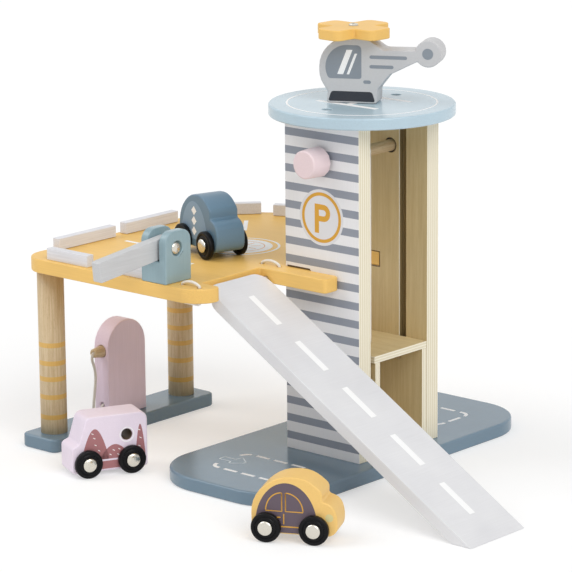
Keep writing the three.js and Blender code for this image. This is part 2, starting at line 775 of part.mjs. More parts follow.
// The ramp slopes from the deck to the floor, with an upright top end and a foot cut flat.
function ramp() {
  const slope = Math.tan(RAMP_SLOPE * degrees);
  const endHeight = RAMP_THICKNESS / Math.cos(RAMP_SLOPE * degrees);
  const footX = rampTopX + rampTopZ / slope;
  const heelX = rampTopX + (rampTopZ - endHeight) / slope;
  const side = roundedOutline([
    [rampTopX, rampTopZ - endHeight],
    [heelX, 0],
    [footX, 0],
    [rampTopX, rampTopZ],
  ]);
  const plan = roundedOutline([
    [rampTopX, rampNear, RAMP_CORNER],
    [footX + CUT_OVERRUN, rampNear],
    [footX + CUT_OVERRUN, rampFar],
    [rampTopX, rampFar, RAMP_CORNER],
  ]);
  const wedge = prism(side, 'y', rampNear - CUT_OVERRUN, rampFar + CUT_OVERRUN);
  const board = wedge.intersect(prism(plan, 'z', -CUT_OVERRUN, rampTopZ + CUT_OVERRUN));
  const hole = bar(
    'y',
    dowelX,
    dowelZ,
    DOWEL_RADIUS + FIT_GAP,
    rampNear - CUT_OVERRUN,
    rampFar + CUT_OVERRUN,
    PEG_SIDES,
  );
  return piece('ramp', cut(board, hole), whitePaint);
}

function rampDowel() {
  const stick = bar('y', dowelX, dowelZ, DOWEL_RADIUS, dowelNear, dowelFar, PEG_SIDES);
  return piece('ramp_dowel', stick, beech);
}

// A loop of cord in a plane across the deck: an arch above it, and a run under the dowel
function rampLoop(name, y) {
  const low = DECK_UNDERSIDE - 2 * LOOP_CORD_RADIUS;
  const shoulder = deckTop - LOOP_SHOULDER_DROP;
  const lean = LOOP_LEAN * degrees;
  const left = loopLeft + LOOP_BEND;
  const right = loopRight - LOOP_BEND;
  const archRadius = LOOP_BEND + (right - left) / 2 / Math.sin(lean);
  const archZ = shoulder - (archRadius - LOOP_BEND) * Math.cos(lean);
  const archIndex = 2; // its ends are already the shoulders' last points
  const arcs = [
    [left, low + LOOP_BEND, LOOP_BEND, 1.5 * Math.PI, Math.PI],
    [left, shoulder, LOOP_BEND, Math.PI, Math.PI / 2 + lean],
    [(left + right) / 2, archZ, archRadius, Math.PI / 2 + lean, Math.PI / 2 - lean],
    [right, shoulder, LOOP_BEND, Math.PI / 2 - lean, 0],
    [right, low + LOOP_BEND, LOOP_BEND, 0, -Math.PI / 2],
  ];
  const points = arcs.flatMap(([x, z, radius, from, to], index) => {
    const turn = (to - from) / BEND_STEPS;
    const steps = Array.from({ length: BEND_STEPS + 1 }, (_, step) => from + turn * step);
    const fresh = index === archIndex ? steps.slice(1, -1) : steps;
    return fresh.map((angle) => {
      const out = new THREE.Vector2(Math.cos(angle), Math.sin(angle)).multiplyScalar(radius);
      return new THREE.Vector3(x + out.x, y, z + out.y);
    });
  });
  return piece(name, tube(points, LOOP_CORD_RADIUS, LOOP_SIDES, true), cotton);
}

// The knob is round in front and has flats at the back
function liftKnob() {
  const back = shaftBack - FIT_GAP;
  const front = back - KNOB_LENGTH;
  const face = bar('y', 0, 0, KNOB_FRONT_RADIUS - KNOB_ROUND, front, front + KNOB_ROUND);
  const rim = bar('y', 0, 0, KNOB_FRONT_RADIUS, front + KNOB_ROUND, front + 2 * KNOB_ROUND);
  const seat = bar('y', 0, 0, KNOB_BACK_RADIUS - KNOB_ROUND, back - KNOB_ROUND, back, KNOB_BACK_SIDES);
  const edge = back - KNOB_ROUND;
  const flats = bar('y', 0, 0, KNOB_BACK_RADIUS, edge - KNOB_ROUND, edge, KNOB_BACK_SIDES);
  const knob = wasm.Manifold.hull([face, rim, flats, seat]);
  const bore = bar('y', 0, 0, SHAFT_RADIUS + FIT_GAP, back - KNOB_BORE, back + CUT_OVERRUN);
  return piece('lift_knob', cut(knob, bore).translate(0, 0, SHAFT_HEIGHT), knobPaint);
}

function liftShaft() {
  const profile = [
    [0, shaftBack - KNOB_BORE],
    [SHAFT_RADIUS, shaftBack - KNOB_BORE],
    [SHAFT_RADIUS, shaftBack],
    [COLLAR_RADIUS, shaftBack],
    [COLLAR_RADIUS, shaftBack + COLLAR_LENGTH],
    [SHAFT_RADIUS, shaftBack + COLLAR_LENGTH],
    [SHAFT_RADIUS, wallOuter],
    [0, wallOuter],
  ];
  const shaft = turned(profile, 'y', SHAFT_SIDES);
  return piece('lift_shaft', shaft.translate(0, 0, SHAFT_HEIGHT), beech);
}

// The cord's turns on the shaft, with a short straight tail at each end
function liftWinding() {
  const count = WINDING_TURNS * TURN_STEPS;
  const points = [];
  for (let step = 0; step <= count; step += 1) {
    const angle = (2 * Math.PI * step) / TURN_STEPS;
    const y = liftMiddleY - (windingPitch * (count - step)) / TURN_STEPS;
    const x = windingRadius * Math.cos(angle);
    const z = SHAFT_HEIGHT - windingRadius * Math.sin(angle);
    points.push(new THREE.Vector3(x, y, z));
  }
  const first = points[0].clone();
  const last = points.at(-1).clone();
  points.unshift(first.setZ(first.z + windingTail));
  points.pop();
  points.push(last, last.clone().setZ(last.z - windingTail));
  const gap = leastGap(points, CORD_RADIUS, TURN_STEPS / 2);
  console.log('least gap of the winding to itself', gap.toFixed(2), 'mm');
  return piece('lift_winding', tube(points, CORD_RADIUS, CORD_SIDES, false), cotton);
}

function liftCord() {
  const high = SHAFT_HEIGHT - windingTail - FIT_GAP;
  const straight = bar('z', windingRadius, liftMiddleY, CORD_RADIUS, LIFT_TOP + FIT_GAP, high, HOSE_SIDES);
  return piece('lift_cord', straight, cotton);
}

function liftCabin() {
  const front = [liftNear, liftNear + LIFT_PANEL];
  const rear = [liftFar - LIFT_PANEL, liftFar];
  const roof = block(liftLeft, wallHalf, -LIFT_ROOF_NEAR, liftFar, liftRoofLow, LIFT_TOP);
  const floor = block(liftLeft, wallHalf, front[1], rear[0], liftLow, liftLow + LIFT_PANEL);
  const panel = ([near, far]) => {
    const board = block(liftLeft, wallHalf, near, far, liftLow, liftRoofLow);
    const through = [near - CUT_OVERRUN, far + CUT_OVERRUN];
    return cut(board, bar('y', GROOVE_OFFSET, PEG_HEIGHT, PEG_RADIUS + FIT_GAP, ...through, PEG_SIDES));
  };
  const pegReach = wallInner + GROOVE_DEPTH - RUN_GAP;
  const peg = (near, far) => bar('y', GROOVE_OFFSET, PEG_HEIGHT, PEG_RADIUS, near, far, PEG_SIDES);
  return [
    piece('lift_roof', roof, plywood),
    piece('lift_floor', floor, plywood),
    piece('lift_panel_front', panel(front), plywood),
    piece('lift_panel_rear', panel(rear), plywood),
    piece('guide_peg_front', peg(-pegReach, front[1]), beech),
    piece('guide_peg_rear', peg(rear[0], pegReach), beech),
  ];
}

function fuelPump() {
  const far = PUMP_NEAR_Y + PUMP_WIDTH;
  const top = BASE_THICKNESS + PUMP_HEIGHT;
  const outline = roundedOutline([
    [PUMP_NEAR_Y, BASE_THICKNESS],
    [far, BASE_THICKNESS],
    [far, top, PUMP_WIDTH / 2],
    [PUMP_NEAR_Y, top, PUMP_WIDTH / 2],
  ]);
  const board = prism(outline, 'x', PUMP_X - PUMP_THICKNESS / 2, PUMP_X + PUMP_THICKNESS / 2);
  const mouth = PUMP_NEAR_Y - CUT_OVERRUN;
  const drill = (height, radius, depth) =>
    bar('y', PUMP_X, BASE_THICKNESS + height, radius, mouth, PUMP_NEAR_Y + depth, PEG_SIDES);
  const nozzleHole = drill(NOZZLE_HEIGHT, NOZZLE_RADIUS + FIT_GAP, NOZZLE_IN + RUN_GAP);
  const hoseHole = drill(HOSE_HOLE_HEIGHT, HOSE_HOLE_RADIUS, HOSE_HOLE_DEPTH);
  return piece('fuel_pump', cut(board, nozzleHole, hoseHole), pinkPaint);
}

function pumpNozzle() {
  const tip = PUMP_NEAR_Y - NOZZLE_OUT;
  const profile = [
    [0, PUMP_NEAR_Y + NOZZLE_IN],
    [NOZZLE_RADIUS, PUMP_NEAR_Y + NOZZLE_IN],
    [NOZZLE_RADIUS, PUMP_NEAR_Y],
    [NOZZLE_TIP_RADIUS, tip + NOZZLE_ROUND],
    [NOZZLE_TIP_RADIUS - NOZZLE_ROUND, tip],
    [0, tip],
  ];
  const mouth = bar('y', 0, 0, NOZZLE_MOUTH_RADIUS, tip - CUT_OVERRUN, tip + NOZZLE_MOUTH_DEPTH, PEG_SIDES);
  const peg = cut(turned(profile, 'y', PEG_SIDES), mouth);
  return piece('pump_nozzle', peg.translate(PUMP_X, 0, BASE_THICKNESS + NOZZLE_HEIGHT), beech);
}

// The hose's route, as [y, z] in the plane of the pump's two holes
const hoseRoute = [
  [-93.2, 71.3],
  [-95.2, 71.3],
  [-97, 71],
  [-98.1, 69.9],
  [-98.3, 68.3],
  [-97.6, 66.4],
  [-96.4, 64.2],
  [-95.3, 61.6],
  [-94.5, 58.6],
  [-94, 55.2],
  [-93.8, 51.6],
  [-93.9, 48],
  [-94.3, 44.2],
  [-94.8, 40.4],
  [-95.3, 36.4],
  [-95.8, 32.4],
  [-96.2, 28.4],
  [-96.3, 24.8],
  [-95.6, 21.8],
  [-94, 20],
  [-91.9, 19.5],
  [-89.9, 20.2],
  [-88, 21.3],
  [-86, 22.2],
  [-83.6, 22.6],
  [-81, 22.7],
  [-78.5, 22.6],
];

function pumpHose() {
  const points = hoseRoute.map(([y, z]) => new THREE.Vector3(PUMP_X, y, z));
  const path = new THREE.CatmullRomCurve3(points, false, 'centripetal');
  const section = roundOutline(0, 0, HOSE_RADIUS, HOSE_SIDES);
  const geometry = new THREE.ExtrudeGeometry(section, {
    extrudePath: path,
    steps: HOSE_STEPS,
    bevelEnabled: false,
  });
  return piece('pump_hose', solidOf(geometry), cotton);
}

// Corners of the helicopter's side, in shares of its length and height, each with a radius share
// of its height. The length runs from the skid's front corner to the middle of the tail's disc.
const heliOutlineShares = [
  [0, 0, 0.03],
  [0.014, 0.176, 0.05],
  [-0.07, 0.371, 0.444],
  [-0.07, 0.74, 0.444],
  [0.094, 1, 0.444],
  [0.41, 1, 0.25],
  [0.56, 0.835, 0.12],
  [1, 0.845, 0],
  [1, 0.72, 0],
  [0.89, 0.665, 0.12],
  [0.62, 0.45, 0.14],
  [0.505, 0.22, 0.06],
  [0.499, 0, 0.03],
];
const tailHeightShare = 0.795;

function scaledOutline(shares, length, height) {
  return roundedOutline(shares.map(([x, y, radius]) => [x * length, y * height, radius * height]));
}

function helicopter() {
  const middle = HELI_THICKNESS / 2;
  const rotorLow = HELI_HEIGHT + ROTOR_GAP;
  const headLow = rotorLow + ROTOR_THICKNESS + FIT_GAP;
  const screwLow = headLow - ROTOR_SCREW_DEPTH;
  const outline = scaledOutline(heliOutlineShares, HELI_LENGTH, HELI_HEIGHT);
  const side = prism(outline, 'y', 0, HELI_THICKNESS);
  const tail = bar('y', HELI_LENGTH, tailHeightShare * HELI_HEIGHT, TAIL_RADIUS, 0, HELI_THICKNESS);
  const body = side.add(tail);
  const screwHole = bar(
    'z',
    ROTOR_U,
    middle,
    ROTOR_SCREW_RADIUS + FIT_GAP,
    screwLow - FIT_GAP,
    HELI_HEIGHT + CUT_OVERRUN,
    PEG_SIDES,
  );
  const screwProfile = [
    [0, screwLow],
    [ROTOR_SCREW_RADIUS, screwLow],
    [ROTOR_SCREW_RADIUS, headLow],
    ...headProfile(domeShares, ROTOR_SCREW_HEAD_RADIUS, headLow, ROTOR_SCREW_HEAD_HEIGHT),
  ];
  const screw = turned(screwProfile, 'z', PEG_SIDES).translate(ROTOR_U, middle, 0);
  const rotor = piece('heli_rotor', rotorSolid(), yellowPaint);
  rotor.position.set(ROTOR_U, middle, rotorLow);
  rotor.rotation.z = (ROTOR_TURN - HELI_HEADING) * degrees;
  const toy = new THREE.Group();
  toy.add(piece('heli_body', cut(body, screwHole), greyPaint));
  toy.add(rotor);
  toy.add(piece('heli_rotor_screw', screw, nickel));
  toy.position.set(HELI_X, HELI_Y, wallTop + DISC_THICKNESS + FIT_GAP);
  toy.rotation.z = HELI_HEADING * degrees;
  return toy;
}

// A flat cross with four round-tipped blades and a hole for its screw
function rotorSolid() {
  const half = ROTOR_ARM_WIDTH / 2;
  const corners = [];
  for (let blade = 0; blade < 4; blade += 1) {
    const turn = (blade * Math.PI) / 2;
    const corner = (reach, side, radius) => [
      reach * Math.cos(turn) - side * Math.sin(turn),
      reach * Math.sin(turn) + side * Math.cos(turn),
      radius,
    ];
    corners.push(corner(ROTOR_REACH, -half, ROTOR_TIP_CORNER));
    corners.push(corner(ROTOR_REACH, half, ROTOR_TIP_CORNER));
    corners.push(corner(half, half, ROTOR_INNER_CORNER));
  }
  const blades = prism(roundedOutline(corners), 'z', 0, ROTOR_THICKNESS);
  return cut(
    blades,
    bar('z', 0, 0, ROTOR_SCREW_RADIUS + RUN_GAP, -CUT_OVERRUN, ROTOR_THICKNESS + CUT_OVERRUN, PEG_SIDES),
  );
}

// Corners of a car's side, in shares of its length and height, each with a radius share of its
// height. The length runs both ways from the middle between the axles.
const beetleShares = [
  [-0.466, 0.123, 0.07],
  [-0.472, 0.68, 0.6],
  [-0.162, 1, 0.6],
  [0.175, 1, 0.6],
  [0.372, 0.8, 0.12],
  [0.366, 0.66, 0.03],
  [0.5, 0.6, 0.24],
  [0.556, 0.41, 0.5],
  [0.54, 0.123, 0.16],
];
const vanShares = [
  [-0.51, 0.072, 0.06],
  [-0.51, 1, 0.13],
  [0.293, 1, 0.12],
  [0.393, 0.56, 0.06],
  [0.49, 0.51, 0.08],
  [0.49, 0.072, 0.06],
];

function wheel(name, x, side) {
  const outer = WHEEL_OUTER;
  const inner = WHEEL_OUTER - WHEEL_WIDTH;
  const bore = AXLE_RADIUS + FIT_GAP;
  const profile = [
    [bore, inner],
    [WHEEL_RADIUS, inner],
    [WHEEL_RADIUS, outer - WHEEL_ROUND],
    [WHEEL_RADIUS - WHEEL_ROUND, outer],
    [bore, outer],
    [bore, inner],
  ];
  const mesh = piece(name, turned(profile, 'y', WHEEL_SIDES), wheelPaint);
  mesh.position.set(x, 0, WHEEL_RADIUS);
  mesh.rotation.z = side > 0 ? 0 : Math.PI;
  return mesh;
}

function axle(name, x) {
  const hubLow = WHEEL_OUTER + FIT_GAP;
  const half = [[AXLE_RADIUS, hubLow], ...headProfile(capShares, HUB_RADIUS, hubLow, HUB_HEIGHT)];
  const mirrored = half.map(([radius, along]) => [radius, -along]).reverse();
  const mesh = piece(name, turned([...mirrored, ...half], 'y', AXLE_SIDES), nickel);
  mesh.position.set(x, 0, WHEEL_RADIUS);
  return mesh;
}

function car(name, shares, length, height, material, cutters = []) {
  const side = prism(scaledOutline(shares, length, height), 'y', -CAR_WIDTH / 2, CAR_WIDTH / 2);
  const axleHoles = [-1, 1].map((end) =>
    bar(
      'y',
      (end * WHEEL_BASE) / 2,
      WHEEL_RADIUS,
      AXLE_RADIUS + RUN_GAP,
      -CAR_WIDTH / 2 - CUT_OVERRUN,
      CAR_WIDTH / 2 + CUT_OVERRUN,
      AXLE_SIDES,
    ),
  );
  const toy = new THREE.Group();
  toy.add(piece(`${name}_body`, cut(side, ...axleHoles, ...cutters), material));
  for (const [end, place] of [['front', WHEEL_BASE / 2], ['rear', -WHEEL_BASE / 2]]) {
    toy.add(axle(`${name}_axle_${end}`, place));
    toy.add(wheel(`${name}_wheel_${end}_left`, place, 1));
    toy.add(wheel(`${name}_wheel_${end}_right`, place, -1));
  }
  return toy;
}

function placed(toy, x, y, z, heading) {
  toy.position.set(x, y, z);
  toy.rotation.z = heading * degrees;
  return toy;
}

const vanHoleShares = [-0.237, 0.645];

function vanHole() {
  const reach = CAR_WIDTH / 2 + CUT_OVERRUN;
  const [along, up] = vanHoleShares;
  return bar('y', along * VAN_LENGTH, up * VAN_TOP, VAN_HOLE_RADIUS, -reach, reach);
}

const garage = new THREE.Group();
garage.add(basePlate());
garage.add(towerWall('tower_wall_front', -1), towerWall('tower_wall_rear', 1));
garage.add(topDisc(), discScrew('disc_screw_front', -screwY), discScrew('disc_screw_rear', screwY));
garage.add(parkingDeck(), ...curbs());
garage.add(post('post_front', postNearY), post('post_rear', postFarY), footBar());
garage.add(barrierBlock(), barrierPin(), barrierArm());
garage.add(ramp(), rampDowel(), rampLoop('ramp_loop_front', loopNearY), rampLoop('ramp_loop_rear', loopFarY));
garage.add(liftKnob(), liftShaft(), liftWinding(), liftCord(), ...liftCabin());
garage.add(fuelPump(), pumpNozzle(), pumpHose());
garage.add(helicopter());

const yellowCar = car('yellow_car', beetleShares, YELLOW_CAR_LENGTH, YELLOW_CAR_TOP, yellowPaint);
const blueCar = car('blue_car', beetleShares, BLUE_CAR_LENGTH, BLUE_CAR_TOP, bluePaint);
const van = car('van', vanShares, VAN_LENGTH, VAN_TOP, vanPaint, [vanHole()]);
garage.add(placed(yellowCar, YELLOW_CAR_X, YELLOW_CAR_Y, 0, YELLOW_CAR_HEADING));
garage.add(placed(blueCar, BLUE_CAR_X, BLUE_CAR_Y, deckTop + FIT_GAP, BLUE_CAR_HEADING));
garage.add(placed(van, VAN_X, VAN_Y, 0, VAN_HEADING));

export default garage;
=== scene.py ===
# %% [markdown]
# # A wooden toy parking garage
# The real toy is made of painted wood: plywood walls, a board for each floor, round beech posts
# and small turned pieces. This lesson gives the plain model of it the finish of the real thing.
# Every place below is in millimetres, in the model's own frame: +Z is up, +X is where the ramp
# comes down, and -Y faces the viewer. The loader gives each part of the model as an object.

# %% Load the model
import math
import bmesh
import bpy
from mathutils import Matrix, Vector


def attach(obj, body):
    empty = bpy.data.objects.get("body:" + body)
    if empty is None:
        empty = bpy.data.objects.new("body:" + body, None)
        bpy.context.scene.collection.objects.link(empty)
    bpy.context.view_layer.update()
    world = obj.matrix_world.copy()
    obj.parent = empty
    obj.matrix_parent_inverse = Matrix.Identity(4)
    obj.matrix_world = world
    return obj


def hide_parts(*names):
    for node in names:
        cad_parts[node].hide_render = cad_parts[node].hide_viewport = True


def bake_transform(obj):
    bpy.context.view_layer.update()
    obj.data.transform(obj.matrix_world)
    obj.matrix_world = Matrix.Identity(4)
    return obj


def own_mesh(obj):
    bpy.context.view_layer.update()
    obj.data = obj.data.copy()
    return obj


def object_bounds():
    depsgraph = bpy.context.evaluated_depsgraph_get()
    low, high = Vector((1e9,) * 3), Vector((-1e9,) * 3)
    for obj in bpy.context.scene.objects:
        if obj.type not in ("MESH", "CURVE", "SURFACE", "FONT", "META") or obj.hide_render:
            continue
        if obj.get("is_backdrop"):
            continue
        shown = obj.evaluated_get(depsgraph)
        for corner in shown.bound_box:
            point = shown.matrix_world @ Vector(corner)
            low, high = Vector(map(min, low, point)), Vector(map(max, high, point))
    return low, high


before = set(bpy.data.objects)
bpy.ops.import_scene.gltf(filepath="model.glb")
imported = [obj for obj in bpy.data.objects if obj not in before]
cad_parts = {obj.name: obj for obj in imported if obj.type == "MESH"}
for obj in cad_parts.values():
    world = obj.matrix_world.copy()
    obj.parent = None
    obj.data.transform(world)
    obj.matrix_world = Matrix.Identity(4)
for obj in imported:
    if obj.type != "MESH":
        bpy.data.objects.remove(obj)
cad_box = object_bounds()
MM = 0.001

# %% [markdown]
# ## Camera
# The photograph was taken from the front right, about 2.6 m away and 0.4 m above the toy's highest
# point. A long lens keeps the upright edges nearly upright. The camera is built from three
# directions: what is right, up and back in the picture. That is plainer than three turns about
# axes.

# %% Set the camera
CAMERA_PLACE = Vector((1640.9, -1951.5, 764.5)) * MM
CAMERA_YAW = math.radians(41.504)
CAMERA_DOWN = math.radians(13.57)
CAMERA_ROLL = math.radians(-0.475)
LENS, SENSOR = 196.04, 36
NEAREST_M, FARTHEST_M = 0.1, 50

camera_data = bpy.data.cameras.new("camera")
camera_data.sensor_width = SENSOR
camera_data.lens = LENS
camera_data.clip_start = NEAREST_M
camera_data.clip_end = FARTHEST_M
camera = bpy.data.objects.new("camera", camera_data)
bpy.context.scene.collection.objects.link(camera)
bpy.context.scene.camera = camera

back = Vector((math.sin(CAMERA_YAW) * math.cos(CAMERA_DOWN),
               -math.cos(CAMERA_YAW) * math.cos(CAMERA_DOWN),
               math.sin(CAMERA_DOWN)))
level = Vector((math.cos(CAMERA_YAW), math.sin(CAMERA_YAW), 0))
above = back.cross(level)
picture_right = math.cos(CAMERA_ROLL) * level + math.sin(CAMERA_ROLL) * above
picture_up = back.cross(picture_right)
camera_turn = Matrix((picture_right, picture_up, back)).transposed()
camera.matrix_world = Matrix.Translation(CAMERA_PLACE) @ camera_turn.to_4x4()
print("camera at", [round(value, 3) for value in CAMERA_PLACE])

# %% [markdown]
# ## Colours, nodes and pieces
# A colour is written as the hex value that a picture shows. Shaders work on linear light, so one
# function turns it over. A second small function adds a node, with whatever feeds its sockets: a
# plain value, or another node's output. A third makes an object of a mesh that was just built.

# %% Helpers for colours, nodes and pieces
def linear(hex_value):
    channels = [int(hex_value[start:start + 2], 16) / 255 for start in (1, 3, 5)]
    return [c / 12.92 if c <= 0.04045 else ((c + 0.055) / 1.055) ** 2.4 for c in channels] + [1]


def add(tree, kind, inputs=None, **settings):
    node = tree.nodes.new(kind)
    for name, value in settings.items():
        setattr(node, name, value)
    for name, value in (inputs or {}).items():
        if isinstance(value, bpy.types.NodeSocket):
            tree.links.new(value, node.inputs[name])
        else:
            node.inputs[name].default_value = value
    return node


def fresh_material(name):
    material = bpy.data.materials.new(name)
    material.use_nodes = True
    material.node_tree.nodes.clear()
    return material, material.node_tree


def finished(material, colour, roughness, **more):
    """Ends a material with one shader and gives it back."""
    shader = add(material.node_tree, "ShaderNodeBsdfPrincipled",
                 {"Base Color": colour, "Roughness": roughness, **more})
    add(material.node_tree, "ShaderNodeOutputMaterial", {"Surface": shader.outputs[0]})
    return material


MIX_FACTOR, MIX_A, MIX_B, MIX_RESULT = 0, 6, 7, 2
WELD_MM = 0.001


def mixed(tree, factor, first, second, blend="MIX"):
    """Colours may come as hex values, as linear light or from a node."""
    first, second = (linear(tone) if isinstance(tone, str) else tone for tone in (first, second))
    node = add(tree, "ShaderNodeMix", {MIX_FACTOR: factor, MIX_A: first, MIX_B: second},
               data_type="RGBA", blend_type=blend)
    return node.outputs[MIX_RESULT]


def math_node(tree, operation, *values):
    return add(tree, "ShaderNodeMath", dict(enumerate(values)), operation=operation).outputs[0]


def split(tree, vector):
    return add(tree, "ShaderNodeSeparateXYZ", {0: vector}).outputs


def bump(tree, strength, depth_mm, height, under=None):
    inputs = {"Strength": strength, "Distance": depth_mm * MM, "Height": height}
    if under is not None:
        inputs["Normal"] = under
    return add(tree, "ShaderNodeBump", inputs).outputs[0]


def ring_of(count):
    """That many turns about an axis, evenly spread."""
    return [2 * math.pi * step / count for step in range(count)]


def weld(mesh):
    bmesh.ops.remove_doubles(mesh, verts=mesh.verts, dist=WELD_MM * MM)


def new_piece(name, mesh, material=None, smooth=False):
    for face in mesh.faces if smooth else []:
        face.smooth = True
    data = bpy.data.meshes.new(name)
    mesh.to_mesh(data)
    mesh.free()
    if material:
        data.materials.append(material)
    piece = bpy.data.objects.new(name, data)
    bpy.context.scene.collection.objects.link(piece)
    return piece


print("white in linear light:", linear("#ffffff")[:3])

# %% [markdown]
# ## Cotton cord
# The toy has thin braided cotton cords: the lift hangs on one, two loops hold the ramp, and one is
# the pump's hose. A braid is two sets of strands that wind round the cord in opposite ways. The
# tube below carries a map with the length along the cord and the turn round it, and two crossing
# wave patterns on that map make the braid. A strand is 0.8 mm wide. Here and below, a relief is a
# pair: its strength, and its depth in millimetres.

# %% Make the cotton material
STRAND_MM = 0.8
STRAND_TURNS = (2, -2)
STRAND_SWING, STRAND_MIDDLE = 0.3, 0.5
STRAND_RELIEF, FLUFF_RELIEF = (0.5, 0.25), (0.2, 0.05)
FLUFF_SCALE = 2500
# The pale tone on the braid's crests is a painted highlight.
CREST_HIGHLIGHT = "#f7f4ee"
COTTON_ROUGHNESS, COTTON_SHEEN = 0.92, 0.3


def braided_cotton(name, hex_value):
    material, tree = fresh_material(name)
    place = add(tree, "ShaderNodeUVMap", uv_map="along")
    waves = []
    for turn in STRAND_TURNS:
        spread = add(tree, "ShaderNodeMapping",
                     {"Vector": place.outputs[0], "Scale": (1 / STRAND_MM, turn, 1)})
        along, around, _ = split(tree, spread.outputs[0])
        phase = math_node(tree, "ADD", along, around)
        waves.append(math_node(tree, "SINE", math_node(tree, "MULTIPLY", phase, math.pi)))
    braid = math_node(tree, "MULTIPLY", *waves)
    # The braid's crests are painted lighter and its grooves darker: painted highlight and painted
    # shade on top of the bump.
    shade = math_node(tree, "MULTIPLY_ADD", braid, STRAND_SWING, STRAND_MIDDLE)
    fluff = add(tree, "ShaderNodeTexNoise", {"Scale": FLUFF_SCALE, "Detail": 2})
    strands = bump(tree, *STRAND_RELIEF, shade)
    fine = bump(tree, *FLUFF_RELIEF, fluff.outputs[0], strands)
    return finished(material, mixed(tree, shade, hex_value, CREST_HIGHLIGHT), COTTON_ROUGHNESS,
                    Normal=fine, **{"Sheen Weight": COTTON_SHEEN})


cotton = braided_cotton("braided cotton cord", "#dcd6cc")
hose_cotton = braided_cotton("braided cotton hose", "#c9c2b6")
print("made", cotton.name, "and", hose_cotton.name)

# %% [markdown]
# ## Tubes
# A cord is a round tube along a smooth line. A curve object could be thickened, but a mesh built
# ring by ring can carry the braid's map.

# %% Build a tube along a line
def smooth_line(points, steps):
    """A rounder line through the points, by Catmull and Rom's rule."""
    ends = [points[0] * 2 - points[1], *points, points[-1] * 2 - points[-2]]
    line = []
    for a, b, c, d in zip(ends, ends[1:], ends[2:], ends[3:]):
        for step in range(steps):
            t = step / steps
            line.append(0.5 * (2 * b + (c - a) * t + (2 * a - 5 * b + 4 * c - d) * t * t
                               + (3 * b - a - 3 * c + d) * t ** 3))
    return line + [points[-1]]


def length_of(points):
    return sum((b - a).length for a, b in zip(points, points[1:]))


def tube(name, points, radius, material, closed=False, sides=14):
    """points and radius in metres."""
    count = len(points)
    mesh = bmesh.new()
    layer = mesh.loops.layers.uv.new("along")
    rings = []
    side = None
    for index, point in enumerate(points):
        before = points[index - 1] if closed or index else point
        after = points[(index + 1) % count] if closed or index < count - 1 else point
        along = (after - before).normalized()
        if side is None:
            side = along.orthogonal()
        side = (side - along * side.dot(along)).normalized()
        across = along.cross(side)
        rings.append([mesh.verts.new(point + radius * (side * math.cos(t) + across * math.sin(t)))
                      for t in ring_of(sides)])
    distance = 0
    for index in range(count if closed else count - 1):
        following = (index + 1) % count
        step = (points[following] - points[index]).length
        for corner in range(sides):
            turn = (corner + 1) % sides
            face = mesh.faces.new((rings[index][corner], rings[index][turn],
                                   rings[following][turn], rings[following][corner]))
            face.smooth = True
            places = [(0, 0), (0, 1), (1, 1), (1, 0)]
            for loop, (forward, around) in zip(face.loops, places):
                loop[layer].uv = ((distance + forward * step) / MM, (corner + around) / sides)
        distance += step
    if not closed:
        mesh.faces.new(reversed(rings[0]))
        mesh.faces.new(rings[-1])
    return new_piece(name, mesh, material)


# %% [markdown]
# ## The pump's hose
# The hose is a limp free cord, 2.5 mm thick. It leaves the hole near the pump's foot, makes a small
# slack bend under gravity and rises to the nozzle, where it goes into the mouth at the wood's end.
# Both ends show, so its length is the length of this line. The nozzle pulls out, but the hose
# here is one still piece that stays where it is laid. The tightest bend has a radius of nearly
# two diameters.

# %% Lay the hose
HOSE_X = -226
HOSE_RADIUS = 1.25
HOSE_ROUTE = [
    (-90.5, 72.1), (-92.9, 72.1), (-94.5, 71.8), (-96.0, 71.0), (-97.1, 69.6), (-97.65, 67.9),
    (-97.6, 66.0), (-97.1, 64.0), (-96.2, 61.7), (-95.3, 59.0), (-94.5, 56.0), (-94.0, 52.4),
    (-93.9, 48.5), (-94.2, 44.4), (-94.7, 40.4), (-95.3, 36.4), (-95.9, 32.4), (-96.5, 28.4),
    (-96.9, 24.4), (-97.1, 20.8), (-97.1, 18.4), (-96.5, 16.2), (-95.1, 14.6), (-93.4, 13.8),
    (-91.4, 13.8), (-89.6, 14.6), (-88.3, 16.1), (-87.7, 18.2), (-87.4, 20.0), (-86.5, 21.5),
    (-85.1, 22.6), (-83.3, 23.1), (-81.0, 23.2), (-78.5, 23.2),
]
hose_points = [Vector((HOSE_X, y, z)) * MM for y, z in reversed(HOSE_ROUTE)]
hose_line = smooth_line(hose_points, 3)
hose = tube("pump_hose_cord", hose_line, HOSE_RADIUS * MM, hose_cotton)
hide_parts("pump_hose")
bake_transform(hose)

# %% [markdown]
# ## The two loops that hold the ramp
# Each loop of cord goes up through two holes in the deck, in an arch over the top, and passes
# under the ramp's dowel. It is a closed tube. The corners are bends of 2.6 mm.

# %% Tie the loops
LOOP_RADIUS = 1.25
LOOP_BEND = 2.6
LOOP_LEAN = math.radians(26)
LOOP_LEFT, LOOP_RIGHT = -62.0, -42.6
LOOP_LOW, LOOP_SHOULDER = 155.0, 168.8
BEND_STEPS = 8
LOOP_PLACES = {"ramp_loop_front": -154.8, "ramp_loop_rear": -57.0}


def arc(x, z, radius, start, end):
    turns = [start + (end - start) * step / BEND_STEPS for step in range(BEND_STEPS + 1)]
    return [(x + radius * math.cos(t), z + radius * math.sin(t)) for t in turns]


